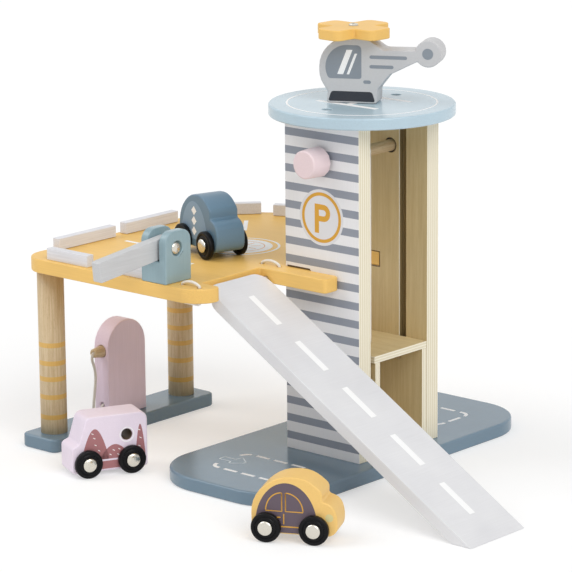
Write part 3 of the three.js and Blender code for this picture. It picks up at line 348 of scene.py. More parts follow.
def ramp_loop_line(y):
    left, right = LOOP_LEFT + LOOP_BEND, LOOP_RIGHT - LOOP_BEND
    arch = LOOP_BEND + (right - left) / 2 / math.sin(LOOP_LEAN)
    arch_z = LOOP_SHOULDER - (arch - LOOP_BEND) * math.cos(LOOP_LEAN)
    quarter = math.pi / 2
    line = arc(left, LOOP_LOW + LOOP_BEND, LOOP_BEND, 3 * quarter, 2 * quarter)
    line += arc(left, LOOP_SHOULDER, LOOP_BEND, 2 * quarter, quarter + LOOP_LEAN)
    line += arc((left + right) / 2, arch_z, arch, quarter + LOOP_LEAN, quarter - LOOP_LEAN)[1:-1]
    line += arc(right, LOOP_SHOULDER, LOOP_BEND, quarter - LOOP_LEAN, 0)
    line += arc(right, LOOP_LOW + LOOP_BEND, LOOP_BEND, 0, -quarter)
    return [Vector((x, y, z)) * MM for x, z in line]


for loop_name, loop_y in LOOP_PLACES.items():
    loop_line = ramp_loop_line(loop_y)
    loop = tube(loop_name + "_cord", loop_line, LOOP_RADIUS * MM, cotton, closed=True)
    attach(loop, "garage")
    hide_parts(loop_name)
    print(loop_name, round(length_of([*loop_line, loop_line[0]]) / MM, 1), "mm round")

# %% [markdown]
# ## The cord of the lift
# The cord is wound round the shaft and drops to the cabin's roof. The turns go with the shaft. On
# the toy the straight run gets shorter as the cabin rises, and at the top of the travel only the
# last centimetre is left; here the run is one straight piece that rides with the cabin.

# %% Wind the lift's cord
SHAFT_Z = 264
CORD_X = 6.2
CORD_Y = 2.9
CORD_RADIUS = 0.9
WINDING_PITCH = 2.4
WINDING_TURNS = 5
WINDING_TAIL = 1.8
WINDING_STEPS = 32
CORD_SIDES = 10
CORD_LOW, CORD_HIGH = 100.3, 262.0
RUN_STEPS = 40


def winding_line():
    count = WINDING_TURNS * WINDING_STEPS
    line = [Vector((CORD_X, CORD_Y - WINDING_PITCH * WINDING_TURNS, SHAFT_Z + WINDING_TAIL))]
    for step in range(count + 1):
        turn = 2 * math.pi * step / WINDING_STEPS
        y = CORD_Y - WINDING_PITCH * (count - step) / WINDING_STEPS
        line.append(Vector((CORD_X * math.cos(turn), y, SHAFT_Z - CORD_X * math.sin(turn))))
    line.append(Vector((CORD_X, CORD_Y, SHAFT_Z - WINDING_TAIL)))
    return [point * MM for point in line]


winding = tube("lift_winding_cord", winding_line(), CORD_RADIUS * MM, cotton, sides=CORD_SIDES)
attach(winding, "lift_drive")
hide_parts("lift_winding")

run_line = [Vector((CORD_X, CORD_Y, CORD_LOW + (CORD_HIGH - CORD_LOW) * step / RUN_STEPS)) * MM
            for step in range(RUN_STEPS + 1)]
cord_run = tube("lift_cord_run", run_line, CORD_RADIUS * MM, cotton, sides=CORD_SIDES)
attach(cord_run, "lift_cabin")
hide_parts("lift_cord")
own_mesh(cord_run)

# %% [markdown]
# ## Painted wood
# Most of the toy is beech or fibreboard under two thin coats of water-based paint, which is
# satin: light spreads over it softly. The wood's grain still shows through as fine ridges along
# the board, about 1 mm apart, the roller leaves a faint orange peel, and the tone drifts a
# little over a few centimetres. Most of the paint has a roughness of 0.45 and the usual IOR, and
# the paint on the base, the disc, the barrier's block and the blue car is glossier. The van's
# hole is drilled after painting, so its inside is bare wood, painted dark brown as painted shade.

# %% Make the paints
GRAIN_LENGTH_MM = 34
GRAIN_WIDTH_MM = 1.0
PEEL_MM = 0.7
DRIFT_MM = 45
DRIFT_TONE, GRAIN_TONE = (0.93, 0.93, 0.94, 1), (0.86, 0.85, 0.84, 1)
GRAIN_DETAIL, GRAIN_ROUGHNESS = 3, 0.6
GLOSS_UNDER, GLOSS_OVER = 0.03, 0.04
RIDGE_STRENGTH, RIDGE_MM = 0.35, 0.12
PEEL_RELIEF = (0.05, 0.03)
# Bare wood darkened as painted shade, for the inside of the van's hole.
BARE_WOOD_SHADE = "#6a5846"
VAN_HOLE = ((-132.3, -158.1, 33.2), (0.9026, -0.4305, 0), 4.9)


def place_of(tree):
    return add(tree, "ShaderNodeTexCoord").outputs["Object"]


def grain_of(tree, axis, length_mm=GRAIN_LENGTH_MM, width_mm=GRAIN_WIDTH_MM):
    """A noise that is long along one axis of the frame and narrow across it."""
    scale = [1 / (width_mm * MM)] * 3
    scale["XYZ".index(axis)] = 1 / (length_mm * MM)
    stretched = add(tree, "ShaderNodeMapping", {"Vector": place_of(tree), "Scale": scale})
    return add(tree, "ShaderNodeTexNoise",
               {"Vector": stretched.outputs[0], "Scale": 1, "Detail": GRAIN_DETAIL,
                "Roughness": GRAIN_ROUGHNESS}).outputs[0]


def even_noise(tree, size_mm, detail=2):
    return add(tree, "ShaderNodeTexNoise",
               {"Vector": place_of(tree), "Scale": 1 / (size_mm * MM),
                "Detail": detail}).outputs[0]


def ranged(tree, value, low, high, start=0.3, end=0.7):
    return add(tree, "ShaderNodeMapRange",
               {"Value": value, "From Min": start, "From Max": end, "To Min": low,
                "To Max": high}).outputs[0]


def near_line(tree, point_mm, direction, radius_mm):
    """1 where the surface lies close to a straight line, such as the middle of a hole, else 0."""
    reach = add(tree, "ShaderNodeVectorMath", {0: place_of(tree), 1: Vector(point_mm) * MM},
                operation="SUBTRACT")
    across = add(tree, "ShaderNodeVectorMath",
                 {0: reach.outputs[0], 1: Vector(direction).normalized()},
                 operation="CROSS_PRODUCT")
    far = add(tree, "ShaderNodeVectorMath", {0: across.outputs[0]}, operation="LENGTH")
    return math_node(tree, "LESS_THAN", far.outputs["Value"], radius_mm * MM)


def painted_wood(name, hex_value, axis="X", roughness=0.45, relief=0.5, shaded_hole=None):
    material, tree = fresh_material(name)
    grain = grain_of(tree, axis)
    peel = even_noise(tree, PEEL_MM)
    drift = even_noise(tree, DRIFT_MM)
    tone = mixed(tree, ranged(tree, drift, 0, 1), hex_value, DRIFT_TONE, "MULTIPLY")
    tone = mixed(tree, ranged(tree, grain, 0, relief), tone, GRAIN_TONE, "MULTIPLY")
    # Inside the hole: bare wood painted dark as painted shade.
    if shaded_hole:
        tone = mixed(tree, near_line(tree, *shaded_hole), tone, BARE_WOOD_SHADE)
    ridges = bump(tree, RIDGE_STRENGTH * relief, RIDGE_MM, grain)
    gloss = ranged(tree, peel, roughness - GLOSS_UNDER, roughness + GLOSS_OVER)
    return finished(material, tone, gloss, Normal=bump(tree, *PEEL_RELIEF, peel, ridges))


deck_paint = painted_wood("yellow paint on the deck", "#f6c86f")
base_paint = painted_wood("blue grey paint on the base", "#6f8798", axis="Y", roughness=0.22,
                          relief=0.2)
disc_paint = painted_wood("pale blue paint on the disc", "#bdd4e0", roughness=0.2)
block_paint = painted_wood("pale blue paint on the barrier block", "#95afb7", axis="Z",
                           roughness=0.2)
curb_paint = painted_wood("white paint on the curbs", "#e9e9ed", relief=0.9)
side_curb_paint = painted_wood("white paint on the side curbs", "#ebebf0", axis="Y", relief=0.9)
arm_paint = painted_wood("white paint on the arm", "#d1d2d3", axis="Y", relief=0.7)
ramp_paint = painted_wood("grey white paint on the ramp", "#e3e3e5", axis="Y", relief=0.25)
pump_paint = painted_wood("dusty pink paint on the pump", "#f5e0f0", axis="Z", relief=0.4)
knob_paint = painted_wood("pale pink paint on the knob", "#f1dbdd", axis="Y", relief=0.3)
van_paint = painted_wood("lilac paint on the van", "#efe2f0", relief=0.3, shaded_hole=VAN_HOLE)
yellow_paint = painted_wood("yellow paint on the car", "#f5ca77", relief=0.3)
blue_paint = painted_wood("grey blue paint on the car", "#66849a", relief=0.3, roughness=0.36)
rotor_paint = painted_wood("yellow paint on the rotor", "#f7c76d", relief=0.3)
grey_paint = painted_wood("grey paint on the helicopter", "#cccccd", relief=0.3)
print("made 15 paints")

# %% [markdown]
# ## Printed ink
# The lines, rings and pictures are screen printed, a thin matt layer on the paint. Each print is a
# sheet a twentieth of a millimetre thick, so its edge is crisp from near by. Ink has a fine grain,
# because the screen's mesh and the wood below leave tiny gaps in its tone.

# %% Make the inks
INK_GRAIN_MM = 0.5
INK_GRAIN_SHARE = 0.6
THIN_INK = (0.9, 0.9, 0.9, 1)
INK_RELIEF = (0.1, 0.04)


def screen_ink(name, hex_value, roughness=0.55):
    material, tree = fresh_material(name)
    grain = even_noise(tree, INK_GRAIN_MM, detail=3)
    tone = mixed(tree, ranged(tree, grain, 0, INK_GRAIN_SHARE), hex_value, THIN_INK, "MULTIPLY")
    return finished(material, tone, roughness, Normal=bump(tree, *INK_RELIEF, grain))


white_ink = screen_ink("white screen ink", "#fcfcfc")
sign_white_ink = screen_ink("off-white ink of the sign", "#e4e4e7")
sign_yellow_ink = screen_ink("ochre ink", "#dda53a")
line_ink = screen_ink("pale line ink", "#f6f8f9")
grey_ink = screen_ink("slate grey ink", "#8b939c")
dark_ink = screen_ink("near-black ink", "#2b2f38")
plum_ink = screen_ink("plum ink", "#62545f")
brown_ink = screen_ink("red brown ink", "#a87073")
sky_ink = screen_ink("light blue ink", "#87a1b8")
orange_ink = screen_ink("thin orange ink", "#e8b07a")
sand_ink = screen_ink("pale sand ink", "#dccf93")
arrow_ink = screen_ink("pale blue grey ink", "#c6d5df", roughness=0.4)
print("made 12 inks")

# %% [markdown]
# ## Birch plywood
# The tower and the cabin are birch plywood. On a face the veneer's grain runs the long way, as
# soft tan streaks. On a cut edge the plies show: pale ones where the grain runs along the edge,
# slightly browner ones where it ends there, each 1.2 to 1.4 mm thick with a hair of glue between.
# The shader tells a face from an edge by the surface's direction, and counts the plies across the
# board. A run of four values says how much a noise counts at least and at most, and between which
# of its values.

# %% Make the plywood
PLY_MM = 1.36
VENEER = "#d6c396"
VENEER_STREAK = "#c1a978"
PLY_LIGHT = "#f6f0de"
PLY_DARK = "#e3d9bd"
GLUE = "#c0b294"
VENEER_PORE = "#a98f5e"
CABIN_PLY_MM = 1.2
WOBBLE_MM, WOBBLE_PLIES = 6, 0.3
NEXT_PLY, GLUE_RUN = (0, 1, 0.46, 0.54), (0.5, 0, 0.02, 0.1)
FIBRE_MM, FIBRE_SHARE = 0.5, 0.35
FACE_LEAST = 0.7
STREAK_SIZE, STREAK_RUN = (60, 2.6), (0, 0.6, 0.35, 0.75)
PORE_SIZE, PORE_RUN = (9, 0.35), (0, 0.25, 0.5, 0.75)
PORE_RELIEF = (0.2, 0.06)
PLY_ROUGHNESS = 0.6


def cut_edge(tree, across, start_mm, ply_mm):
    """The colour of the plies, how far the surface is an edge, 0 or 1, and where it is."""
    index = "XYZ".index(across)
    where = split(tree, place_of(tree))
    facing = split(tree, add(tree, "ShaderNodeTexCoord").outputs["Normal"])
    depth = math_node(tree, "SUBTRACT", where[index], start_mm * MM)
    plies = math_node(tree, "DIVIDE", depth, ply_mm * MM)
    wobble = math_node(tree, "MULTIPLY_ADD", even_noise(tree, WOBBLE_MM), WOBBLE_PLIES,
                       -WOBBLE_PLIES / 2)
    count = math_node(tree, "ADD", plies, wobble)
    pair = math_node(tree, "FRACT", math_node(tree, "MULTIPLY", count, 1 / 2))
    glue = ranged(tree, math_node(tree, "PINGPONG", count, 1 / 2), *GLUE_RUN)
    fibres = ranged(tree, even_noise(tree, FIBRE_MM, detail=3), 0, FIBRE_SHARE)
    tone = mixed(tree, ranged(tree, pair, *NEXT_PLY), PLY_LIGHT, PLY_DARK)
    tone = mixed(tree, glue, mixed(tree, fibres, tone, PLY_DARK), GLUE)
    edge = math_node(tree, "LESS_THAN", math_node(tree, "ABSOLUTE", facing[index]), FACE_LEAST)
    return tone, edge, where


def veneer_tone(tree, axis):
    streaks = grain_of(tree, axis, *STREAK_SIZE)
    pores = grain_of(tree, axis, *PORE_SIZE)
    tone = mixed(tree, ranged(tree, streaks, *STREAK_RUN), VENEER, VENEER_STREAK)
    return mixed(tree, ranged(tree, pores, *PORE_RUN), tone, VENEER_PORE), pores


def birch_plywood(name, across, start_mm, axis):
    material, tree = fresh_material(name)
    plies, edge, _ = cut_edge(tree, across, start_mm, CABIN_PLY_MM)
    veneer, pores = veneer_tone(tree, axis)
    return finished(material, mixed(tree, edge, veneer, plies), PLY_ROUGHNESS,
                    Normal=bump(tree, *PORE_RELIEF, pores))


# %% [markdown]
# ## The printed walls
# Only the outer face of each wall is printed, with level slate grey stripes on near white. They
# repeat every 15.4 mm, and the grey one is 6.6 mm high. The print is drawn on top of the plywood's
# own colours, where the surface faces out and lies at the wall's outer face. The inside of each
# groove is painted darker brown as painted shade, and a pale strip beside it is a painted highlight
# on its edge. Painted shadow darkens the gap at the top of each slot outside, the wall round the
# deck inside, and the shaft's hole and its rim.

# %% Make the wall material
STRIPE_PERIOD = 15.36
STRIPE_HEIGHT = 6.6
STRIPE_START = 20.4
WALL_OUTER = 52.0
WALL_INNER = 37.0
GROOVE_X, GROOVE_HALF = 13.5, 3.7
GROOVE_MIDDLE_DEPTH, GROOVE_DEPTH = 39.9, 5.0
LIP_X, LIP_HALF = 9.7, 0.35
# Painted shade for the groove's inside, and painted shadow for the gaps at the slots and the
# shaft's hole.
GROOVE_SHADE = "#8f7b53"
GAP_SHADOW = "#4c3a24"
SHAFT_HOLE = ((0, 0, 264), (0, 1, 0), 6.5)
SLOT_X, SLOT_HALF = -25.5, 12.5
SLOT_TOP, SLOT_GAP = 170.3, 0.9
DECK_MIDDLE, DECK_HALF = 163.5, 6.9
STRIPE_DARK = "#949aa6"
STRIPE_LIGHT = "#efeff1"
THIN_STRIPE_SHARE = 0.4
SKIN_MM = 0.4
RIM_WIDER = 1.5
WALL_ROUGHNESS = 0.55


def within(tree, limits):
    """1 where each value lies within a half width of its middle, both in millimetres, else 0."""
    inside = 1
    for value, middle, half in limits:
        near = math_node(tree, "COMPARE", value, middle * MM, half * MM)
        inside = math_node(tree, "MULTIPLY", near, inside)
    return inside


def striped_wall(name, start_mm):
    material, tree = fresh_material(name)
    plies, edge, (x, y, z) = cut_edge(tree, "Y", start_mm, PLY_MM)
    veneer, pores = veneer_tone(tree, "Z")
    bare = mixed(tree, edge, veneer, plies)
    height = math_node(tree, "SUBTRACT", z, STRIPE_START * MM)
    stripe = math_node(tree, "FRACT", math_node(tree, "DIVIDE", height, STRIPE_PERIOD * MM))
    dark = math_node(tree, "LESS_THAN", stripe, STRIPE_HEIGHT / STRIPE_PERIOD)
    ink = mixed(tree, dark, STRIPE_LIGHT, STRIPE_DARK)
    ink = mixed(tree, ranged(tree, pores, 0, THIN_STRIPE_SHARE), ink, THIN_INK, "MULTIPLY")
    outward = math_node(tree, "ABSOLUTE", y)
    printed_part = math_node(tree, "GREATER_THAN", outward, (WALL_OUTER - SKIN_MM) * MM)
    flat = math_node(tree, "SUBTRACT", 1, edge)
    tone = mixed(tree, math_node(tree, "MULTIPLY", printed_part, flat), bare, ink)
    outside, inside = (outward, WALL_OUTER, SKIN_MM), (outward, WALL_INNER, SKIN_MM)
    groove = within(tree, ((outward, GROOVE_MIDDLE_DEPTH, GROOVE_DEPTH / 2),
                           (x, GROOVE_X, GROOVE_HALF)))
    # A pale strip beside the groove: a painted highlight on its edge.
    lip_highlight = within(tree, (inside, (x, LIP_X, LIP_HALF)))
    slot = within(tree, (outside, (x, SLOT_X, SLOT_HALF), (z, SLOT_TOP, SLOT_GAP)))
    rim = within(tree, (inside, (x, SLOT_X, SLOT_HALF + RIM_WIDER), (z, DECK_MIDDLE, DECK_HALF)))
    hole = near_line(tree, *SHAFT_HOLE)
    # Painted shade in the groove, a painted highlight beside it, and painted shadow in the slot's
    # gap, round the deck inside and in the shaft's hole.
    for mask, hex_value in ((groove, GROOVE_SHADE), (lip_highlight, PLY_LIGHT), (slot, GAP_SHADOW), (rim, GAP_SHADOW),
                            (hole, GAP_SHADOW)):
        tone = mixed(tree, mask, tone, hex_value)
    return finished(material, tone, WALL_ROUGHNESS, Normal=bump(tree, *PORE_RELIEF, pores))


front_wall_ply = striped_wall("striped birch plywood, front", -52)
rear_wall_ply = striped_wall("striped birch plywood, rear", 37)
roof_ply = birch_plywood("birch plywood, roof", "Z", 94.3, "X")
floor_ply = birch_plywood("birch plywood, floor", "Z", 12.5, "X")
front_panel_ply = birch_plywood("birch plywood, front panel", "Y", -30.9, "Z")
rear_panel_ply = birch_plywood("birch plywood, rear panel", "Y", 30.7, "Z")
print("made 6 plywoods")

# %% [markdown]
# ## Beech dowels
# The posts, the lift's shaft, the nozzle and the small pegs are turned beech with a thin clear
# lacquer: warm tan with short dark flecks along the grain. The posts also carry five rings of thin
# yellow stain, and the grain shows through it.

# %% Make the beech
BEECH = "#dac4a0"
BEECH_STREAK = "#c0a376"
BEECH_FLECK = "#96784c"
STAIN = "#dfaf4c"
RING_TOPS = (93.1, 77.1, 63.1, 47.1, 29.1)
RING_HEIGHT = 4.2
STAIN_SHARE = 0.8
BEECH_STREAK_SIZE, BEECH_STREAK_RUN = (30, 1.6), (0, 0.9, 0.35, 0.75)
FLECK_SIZE, FLECK_RUN = (4, 0.4), (0, 0.45, 0.55, 0.75)
FLECK_RELIEF = (0.25, 0.06)
BEECH_ROUGHNESS = 0.5


def turned_beech(name, axis, ringed=False):
    material, tree = fresh_material(name)
    streaks = grain_of(tree, axis, *BEECH_STREAK_SIZE)
    flecks = grain_of(tree, axis, *FLECK_SIZE)
    tone = mixed(tree, ranged(tree, streaks, *BEECH_STREAK_RUN), BEECH, BEECH_STREAK)
    if ringed:
        height = split(tree, place_of(tree))[2]
        rings = 0
        for top in RING_TOPS:
            ring = math_node(tree, "COMPARE", height, (top - RING_HEIGHT / 2) * MM,
                             RING_HEIGHT / 2 * MM)
            rings = math_node(tree, "MAXIMUM", ring, rings)
        tone = mixed(tree, math_node(tree, "MULTIPLY", rings, STAIN_SHARE), tone, STAIN)
    tone = mixed(tree, ranged(tree, flecks, *FLECK_RUN), tone, BEECH_FLECK)
    return finished(material, tone, BEECH_ROUGHNESS, Normal=bump(tree, *FLECK_RELIEF, flecks))


post_beech = turned_beech("beech with stained rings", "Z", ringed=True)
dowel_beech = turned_beech("beech along the depth", "Y")
print("made", post_beech.name, "and", dowel_beech.name)

# %% [markdown]
# ## Black wheels and bright metal
# The wheels are turned wood dipped in black lacquer with a soft shine. The hub caps, the barrier's
# pin and the rotor's screw are nickel-plated steel: a warm white metal that mirrors the bright
# room with a slight blur. The two screws in the disc are dull zinc.

# %% Make the lacquer and the metals
LACQUER_PEEL_MM, LACQUER_RELIEF = 1.5, (0.08, 0.05)
LACQUER_CLOUD_MM, LACQUER_GLOSS = 5, (0.28, 0.4)
LACQUER_SPECULAR = 0.15
SCUFF_MM, METAL_GLOSS = 1.2, (0.16, 0.3)


def gloss_lacquer(name, hex_value):
    material, tree = fresh_material(name)
    peel = even_noise(tree, LACQUER_PEEL_MM)
    gloss = ranged(tree, even_noise(tree, LACQUER_CLOUD_MM), *LACQUER_GLOSS)
    return finished(material, linear(hex_value), gloss, Normal=bump(tree, *LACQUER_RELIEF, peel),
                    **{"Specular IOR Level": LACQUER_SPECULAR})


def plated_metal(name, hex_value):
    material, tree = fresh_material(name)
    gloss = ranged(tree, even_noise(tree, SCUFF_MM, detail=3), *METAL_GLOSS)
    return finished(material, linear(hex_value), gloss, Metallic=1)


wheel_lacquer = gloss_lacquer("black gloss lacquer", "#111113")
nickel = plated_metal("nickel plate", "#d9d5ca")
screw_steel = plated_metal("dull zinc on the screws", "#7c7d7d")
print("made", wheel_lacquer.name, nickel.name, "and", screw_steel.name)

# %% [markdown]
# ## Rounded edges
# No edge of a sanded, painted board is truly sharp. Each board of the model is copied, its flat
# triangles are joined into whole faces, and a bevel rounds its edges by 0.3 to 1.3 mm. The
# weighted normals keep the large faces flat in the light. The copy then stands for the model's
# own node. The turned posts have no bevel.

# %% Dress a node with a rounded copy
FLAT_ANGLE = math.radians(1)
EDGE_ANGLE = math.radians(32)
BEVEL_STEPS = 3


def dressed(node, material, body, slot_name, edge_mm):
    mesh = bmesh.new()
    mesh.from_mesh(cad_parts[node].data)
    weld(mesh)
    bmesh.ops.dissolve_limit(mesh, angle_limit=FLAT_ANGLE, verts=mesh.verts, edges=mesh.edges)
    piece = new_piece(node + "_dressed", mesh, material, smooth=True)
    if edge_mm:
        bevel = piece.modifiers.new("rounded edges", "BEVEL")
        bevel.width = edge_mm * MM
        bevel.segments = BEVEL_STEPS
        bevel.limit_method = "ANGLE"
        bevel.angle_limit = EDGE_ANGLE
        bevel.use_clamp_overlap = False
    weighted = piece.modifiers.new("flat faces", "WEIGHTED_NORMAL")
    weighted.keep_sharp = True
    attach(piece, body)
    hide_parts(node)


# Nodes that share a finish, the body that they ride on, their slot, and the edges' rounding in mm.
BOARDS = [
    ("base_plate foot_bar", base_paint, "garage", "base_paint", 0.6),
    ("tower_wall_front", front_wall_ply, "garage", "plywood", 0.4),
    ("tower_wall_rear", rear_wall_ply, "garage", "plywood", 0.4),
    ("top_disc", disc_paint, "garage", "disc_paint", 0.5),
    ("parking_deck", deck_paint, "garage", "deck_paint", 1.0),
    ("curb_front curb_gate", curb_paint, "garage", "white_paint", 0.5),
    ("curb_left curb_middle", side_curb_paint, "garage", "white_paint", 0.5),
    ("curb_corner curb_back", curb_paint, "garage", "white_paint", 0.5),
    ("post_front post_rear", post_beech, "garage", "beech", 0),
    ("barrier_block", block_paint, "garage", "block_paint", 1.0),
    ("barrier_arm", arm_paint, "barrier", "white_paint", 0.7),
    ("fuel_pump", pump_paint, "garage", "pink_paint", 0.9),
    ("ramp", ramp_paint, "ramp_board", "white_paint", 0.7),
    ("ramp_dowel", dowel_beech, "ramp_board", "beech", 0.4),
    ("pump_nozzle", dowel_beech, "nozzle", "beech", 0.4),
    ("lift_knob", knob_paint, "lift_drive", "knob_paint", 0.5),
    ("lift_shaft", dowel_beech, "lift_drive", "beech", 0.3),
    ("lift_roof", roof_ply, "lift_cabin", "plywood", 0.4),
    ("lift_floor", floor_ply, "lift_cabin", "plywood", 0.4),
    ("lift_panel_front", front_panel_ply, "lift_cabin", "plywood", 0.4),
    ("lift_panel_rear", rear_panel_ply, "lift_cabin", "plywood", 0.4),
    ("guide_peg_front guide_peg_rear", dowel_beech, "lift_cabin", "beech", 0.3),
    ("heli_body", grey_paint, "helicopter", "grey_paint", 1.0),
    ("heli_rotor", rotor_paint, "rotor", "yellow_paint", 1.0),
    ("yellow_car_body", yellow_paint, "yellow_car", "yellow_paint", 1.3),
    ("blue_car_body", blue_paint, "blue_car", "blue_paint", 1.3),
    ("van_body", van_paint, "van", "van_paint", 1.3),
]
for nodes, *finish in BOARDS:
    for node in nodes.split():
        dressed(node, *finish)
print("dressed the boards and dowels in", len(BOARDS), "finishes")

# %% [markdown]
# ## Turned pieces
# Wheels, caps and screw heads are round, so one outline turned about an axis gives each of them.
# The outline is a list of radius and place along the axis.

# %% Turn an outline about an axis
SHARP_ANGLE = math.radians(35)
SIDES, FEWER_SIDES, WHEEL_SIDES = 48, 40, 64


def turned(name, profile, place, material, body, slot_name, *nodes, sides=SIDES):
    mesh = bmesh.new()
    rings = []
    for radius, along in profile:
        if radius == 0:
            rings.append([mesh.verts.new((0, 0, along))])
            continue
        rings.append([mesh.verts.new((radius * math.cos(t), radius * math.sin(t), along))
                      for t in ring_of(sides)])
    for low, high in zip(rings, rings[1:]):
        for side in range(sides):
            following = (side + 1) % sides
            corners = [low[side % len(low)], low[following % len(low)],
                       high[following % len(high)], high[side % len(high)]]
            mesh.faces.new(dict.fromkeys(corners))
    bmesh.ops.transform(mesh, matrix=place @ Matrix.Scale(MM, 4), verts=mesh.verts)
    weld(mesh)
    bmesh.ops.recalc_face_normals(mesh, faces=mesh.faces)
    piece = new_piece(name, mesh, material, smooth=True)
    piece.data.set_sharp_from_angle(angle=SHARP_ANGLE)
    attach(piece, body)
    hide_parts(*nodes)
    return piece


def frame_at(place_mm, first=(1, 0, 0), second=(0, 1, 0)):
    """A place whose X, Y and Z run along first, second and what is square to both."""
    x, y = Vector(first).normalized(), Vector(second).normalized()
    turn = Matrix((x, y, x.cross(y))).transposed().to_4x4()
    return Matrix.Translation(Vector(place_mm) * MM) @ turn


# %% [markdown]
# ## Wheels and axles
# Each wheel has a rounded tread and a fine groove round its face, as a turner leaves it. Its cap
# is a domed nickel rivet on the end of the axle.

# %% Mount the wheels
WHEEL_RADIUS = 12
WHEEL_INNER = 14
AXLE_HALF = 19.25
AXLE_RADIUS = 1.6
CAP_SEAT = 19.3
WHEEL_PROFILE = [
    (1.9, 0), (10.9, 0), (11.6, 0.25), (12, 0.9), (12, 3.7), (11.85, 4.3), (11.4, 4.75),
    (10.7, 4.98), (9.3, 5), (9.05, 4.9), (8.85, 4.55), (8.6, 4.45), (8.35, 4.55), (8.15, 4.85),
    (7.9, 4.95), (5.4, 4.95), (1.9, 4.9), (1.9, 0),
]
CAP_PROFILE = [(5.5, 0), (5.9, 0.3), (5.9, 0.8), (5.65, 1.3), (5.0, 1.75), (3.8, 2.1),
               (2.0, 2.3), (0, 2.35)]
near_cap = [(radius, along + CAP_SEAT) for radius, along in CAP_PROFILE]
far_cap = [(radius, -along) for radius, along in reversed(near_cap)]
AXLE_PROFILE = [*far_cap, (AXLE_RADIUS, -CAP_SEAT), (AXLE_RADIUS, CAP_SEAT), *near_cap]
# Each car's middle at the height of what it stands on, and its heading in degrees.
CARS = {
    "yellow_car": (102.4, -204.6, 0, 27.2),
    "blue_car": (-121.6, -56, 169.8, -17.1),
    "van": (-139.2, -172.5, 0, 244.5),
}


def headed(heading):
    turn = math.radians(heading)
    return Vector((math.cos(turn), math.sin(turn), 0)), Vector((-math.sin(turn), math.cos(turn), 0))


for car_name, (car_x, car_y, car_z, heading) in CARS.items():
    forward, left = headed(heading)
    for end, reach in (("front", AXLE_HALF), ("rear", -AXLE_HALF)):
        centre = Vector((car_x, car_y, car_z + WHEEL_RADIUS)) + forward * reach
        wheels_body = f"{car_name}_{end}_wheels"
        for side_name, outward in (("left", left), ("right", -left)):
            place = frame_at(centre + outward * WHEEL_INNER, (0, 0, 1), outward.cross((0, 0, 1)))
            wheel = f"{car_name}_wheel_{end}_{side_name}"
            turned(wheel + "_turned", WHEEL_PROFILE, place, wheel_lacquer, wheels_body,
                   "wheel_paint", wheel, sides=WHEEL_SIDES)
        axle = f"{car_name}_axle_{end}"
        turned(axle + "_capped", AXLE_PROFILE, frame_at(centre, (0, 0, 1), left.cross((0, 0, 1))),
               nickel, wheels_body, "nickel", axle, sides=FEWER_SIDES)
print("mounted wheels on", len(CARS), "cars")

# %% [markdown]
# ## Screws and the barrier's pin
# Two screws hold the disc and one holds the rotor. Their heads have a cross recess, cut from the
# turned head with a cross-shaped block. The barrier's pin has a smooth domed head.

# %% Turn the screws and the pin
CROSS_LENGTH = 4.4
CROSS_WIDTH = 1.0
CROSS_DEPTH = 1.1


def cross_recess(piece, place, top_mm):
    mesh = bmesh.new()
    for length, width in ((CROSS_LENGTH, CROSS_WIDTH), (CROSS_WIDTH, CROSS_LENGTH)):
        block = Matrix.Diagonal((length * MM, width * MM, 2 * CROSS_DEPTH * MM, 1))
        shift = Matrix.Translation((0, 0, top_mm * MM))
        bmesh.ops.create_cube(mesh, size=1, matrix=place @ shift @ block)
    cutter = new_piece("cross", mesh)
    recess = piece.modifiers.new("recess", "BOOLEAN")
    recess.object = cutter
    recess.solver = "EXACT"
    recess.use_self = True
    bpy.context.view_layer.update()
    ready = piece.evaluated_get(bpy.context.evaluated_depsgraph_get())
    cut_data = bpy.data.meshes.new_from_object(ready)
    piece.modifiers.clear()
    piece.data = cut_data
    bpy.data.objects.remove(cutter)


SCREW_PROFILE = [(0, -28.8), (2, -26.8), (2, -2.6), (2.4, -2.5), (4, -0.5), (3.9, -0.1),
                 (3.4, 0), (0, 0)]
ROTOR_SCREW_HEAD = 1.6
ROTOR_SCREW_PROFILE = [(0, -18), (2, -17.4), (2, 0), (4, 0), (3.9, 0.6), (3.3, 1.2), (2.2, 1.5),
                       (0, ROTOR_SCREW_HEAD)]
DISC_SCREWS = {"disc_screw_front": (0, -44.5, 304.8), "disc_screw_rear": (0, 44.5, 304.8)}
ROTOR_SCREW_PLACE = (-7.06, -2.21, 369.9)
PIN_PROFILE = [(0, 0), (2.2, 0), (2.5, 0.3), (2.5, 21.8), (5.6, 21.8), (5.6, 22.4), (5.2, 23.3),
               (4.2, 24.1), (2.6, 24.6), (0, 24.8)]
PIN_PLACE = (-94, -152.3, 198)

for screw_name, screw_place in DISC_SCREWS.items():
    place = frame_at(screw_place, (0.8, 0.6, 0), (-0.6, 0.8, 0))
    screw = turned(screw_name + "_turned", SCREW_PROFILE, place, screw_steel, "garage", "nickel",
                   screw_name, sides=FEWER_SIDES)
    cross_recess(screw, place, 0)
place = frame_at(ROTOR_SCREW_PLACE, (0.9, 0.44, 0), (-0.44, 0.9, 0))
rotor_screw = turned("heli_rotor_screw_turned", ROTOR_SCREW_PROFILE, place, nickel, "helicopter",
                     "nickel", "heli_rotor_screw", sides=FEWER_SIDES)
cross_recess(rotor_screw, place, ROTOR_SCREW_HEAD)
place = frame_at(PIN_PLACE, (0, 1, 0), (0, 0, 1))
turned("barrier_pin_turned", PIN_PROFILE, place, nickel, "garage", "nickel", "barrier_pin")
print("turned 3 screws and a pin")

# %% [markdown]
# ## Flat prints
# A print is drawn as a few flat shapes in its own two directions, in millimetres, and then laid on
# a surface. Helpers give the shapes that keep coming back: a bar with square or round ends, a
# disc, a ring, an outline with rounded corners, and a line of any course with a width. What has
# two faces, such as a car, gets the same prints on both, the left ones mirrored.

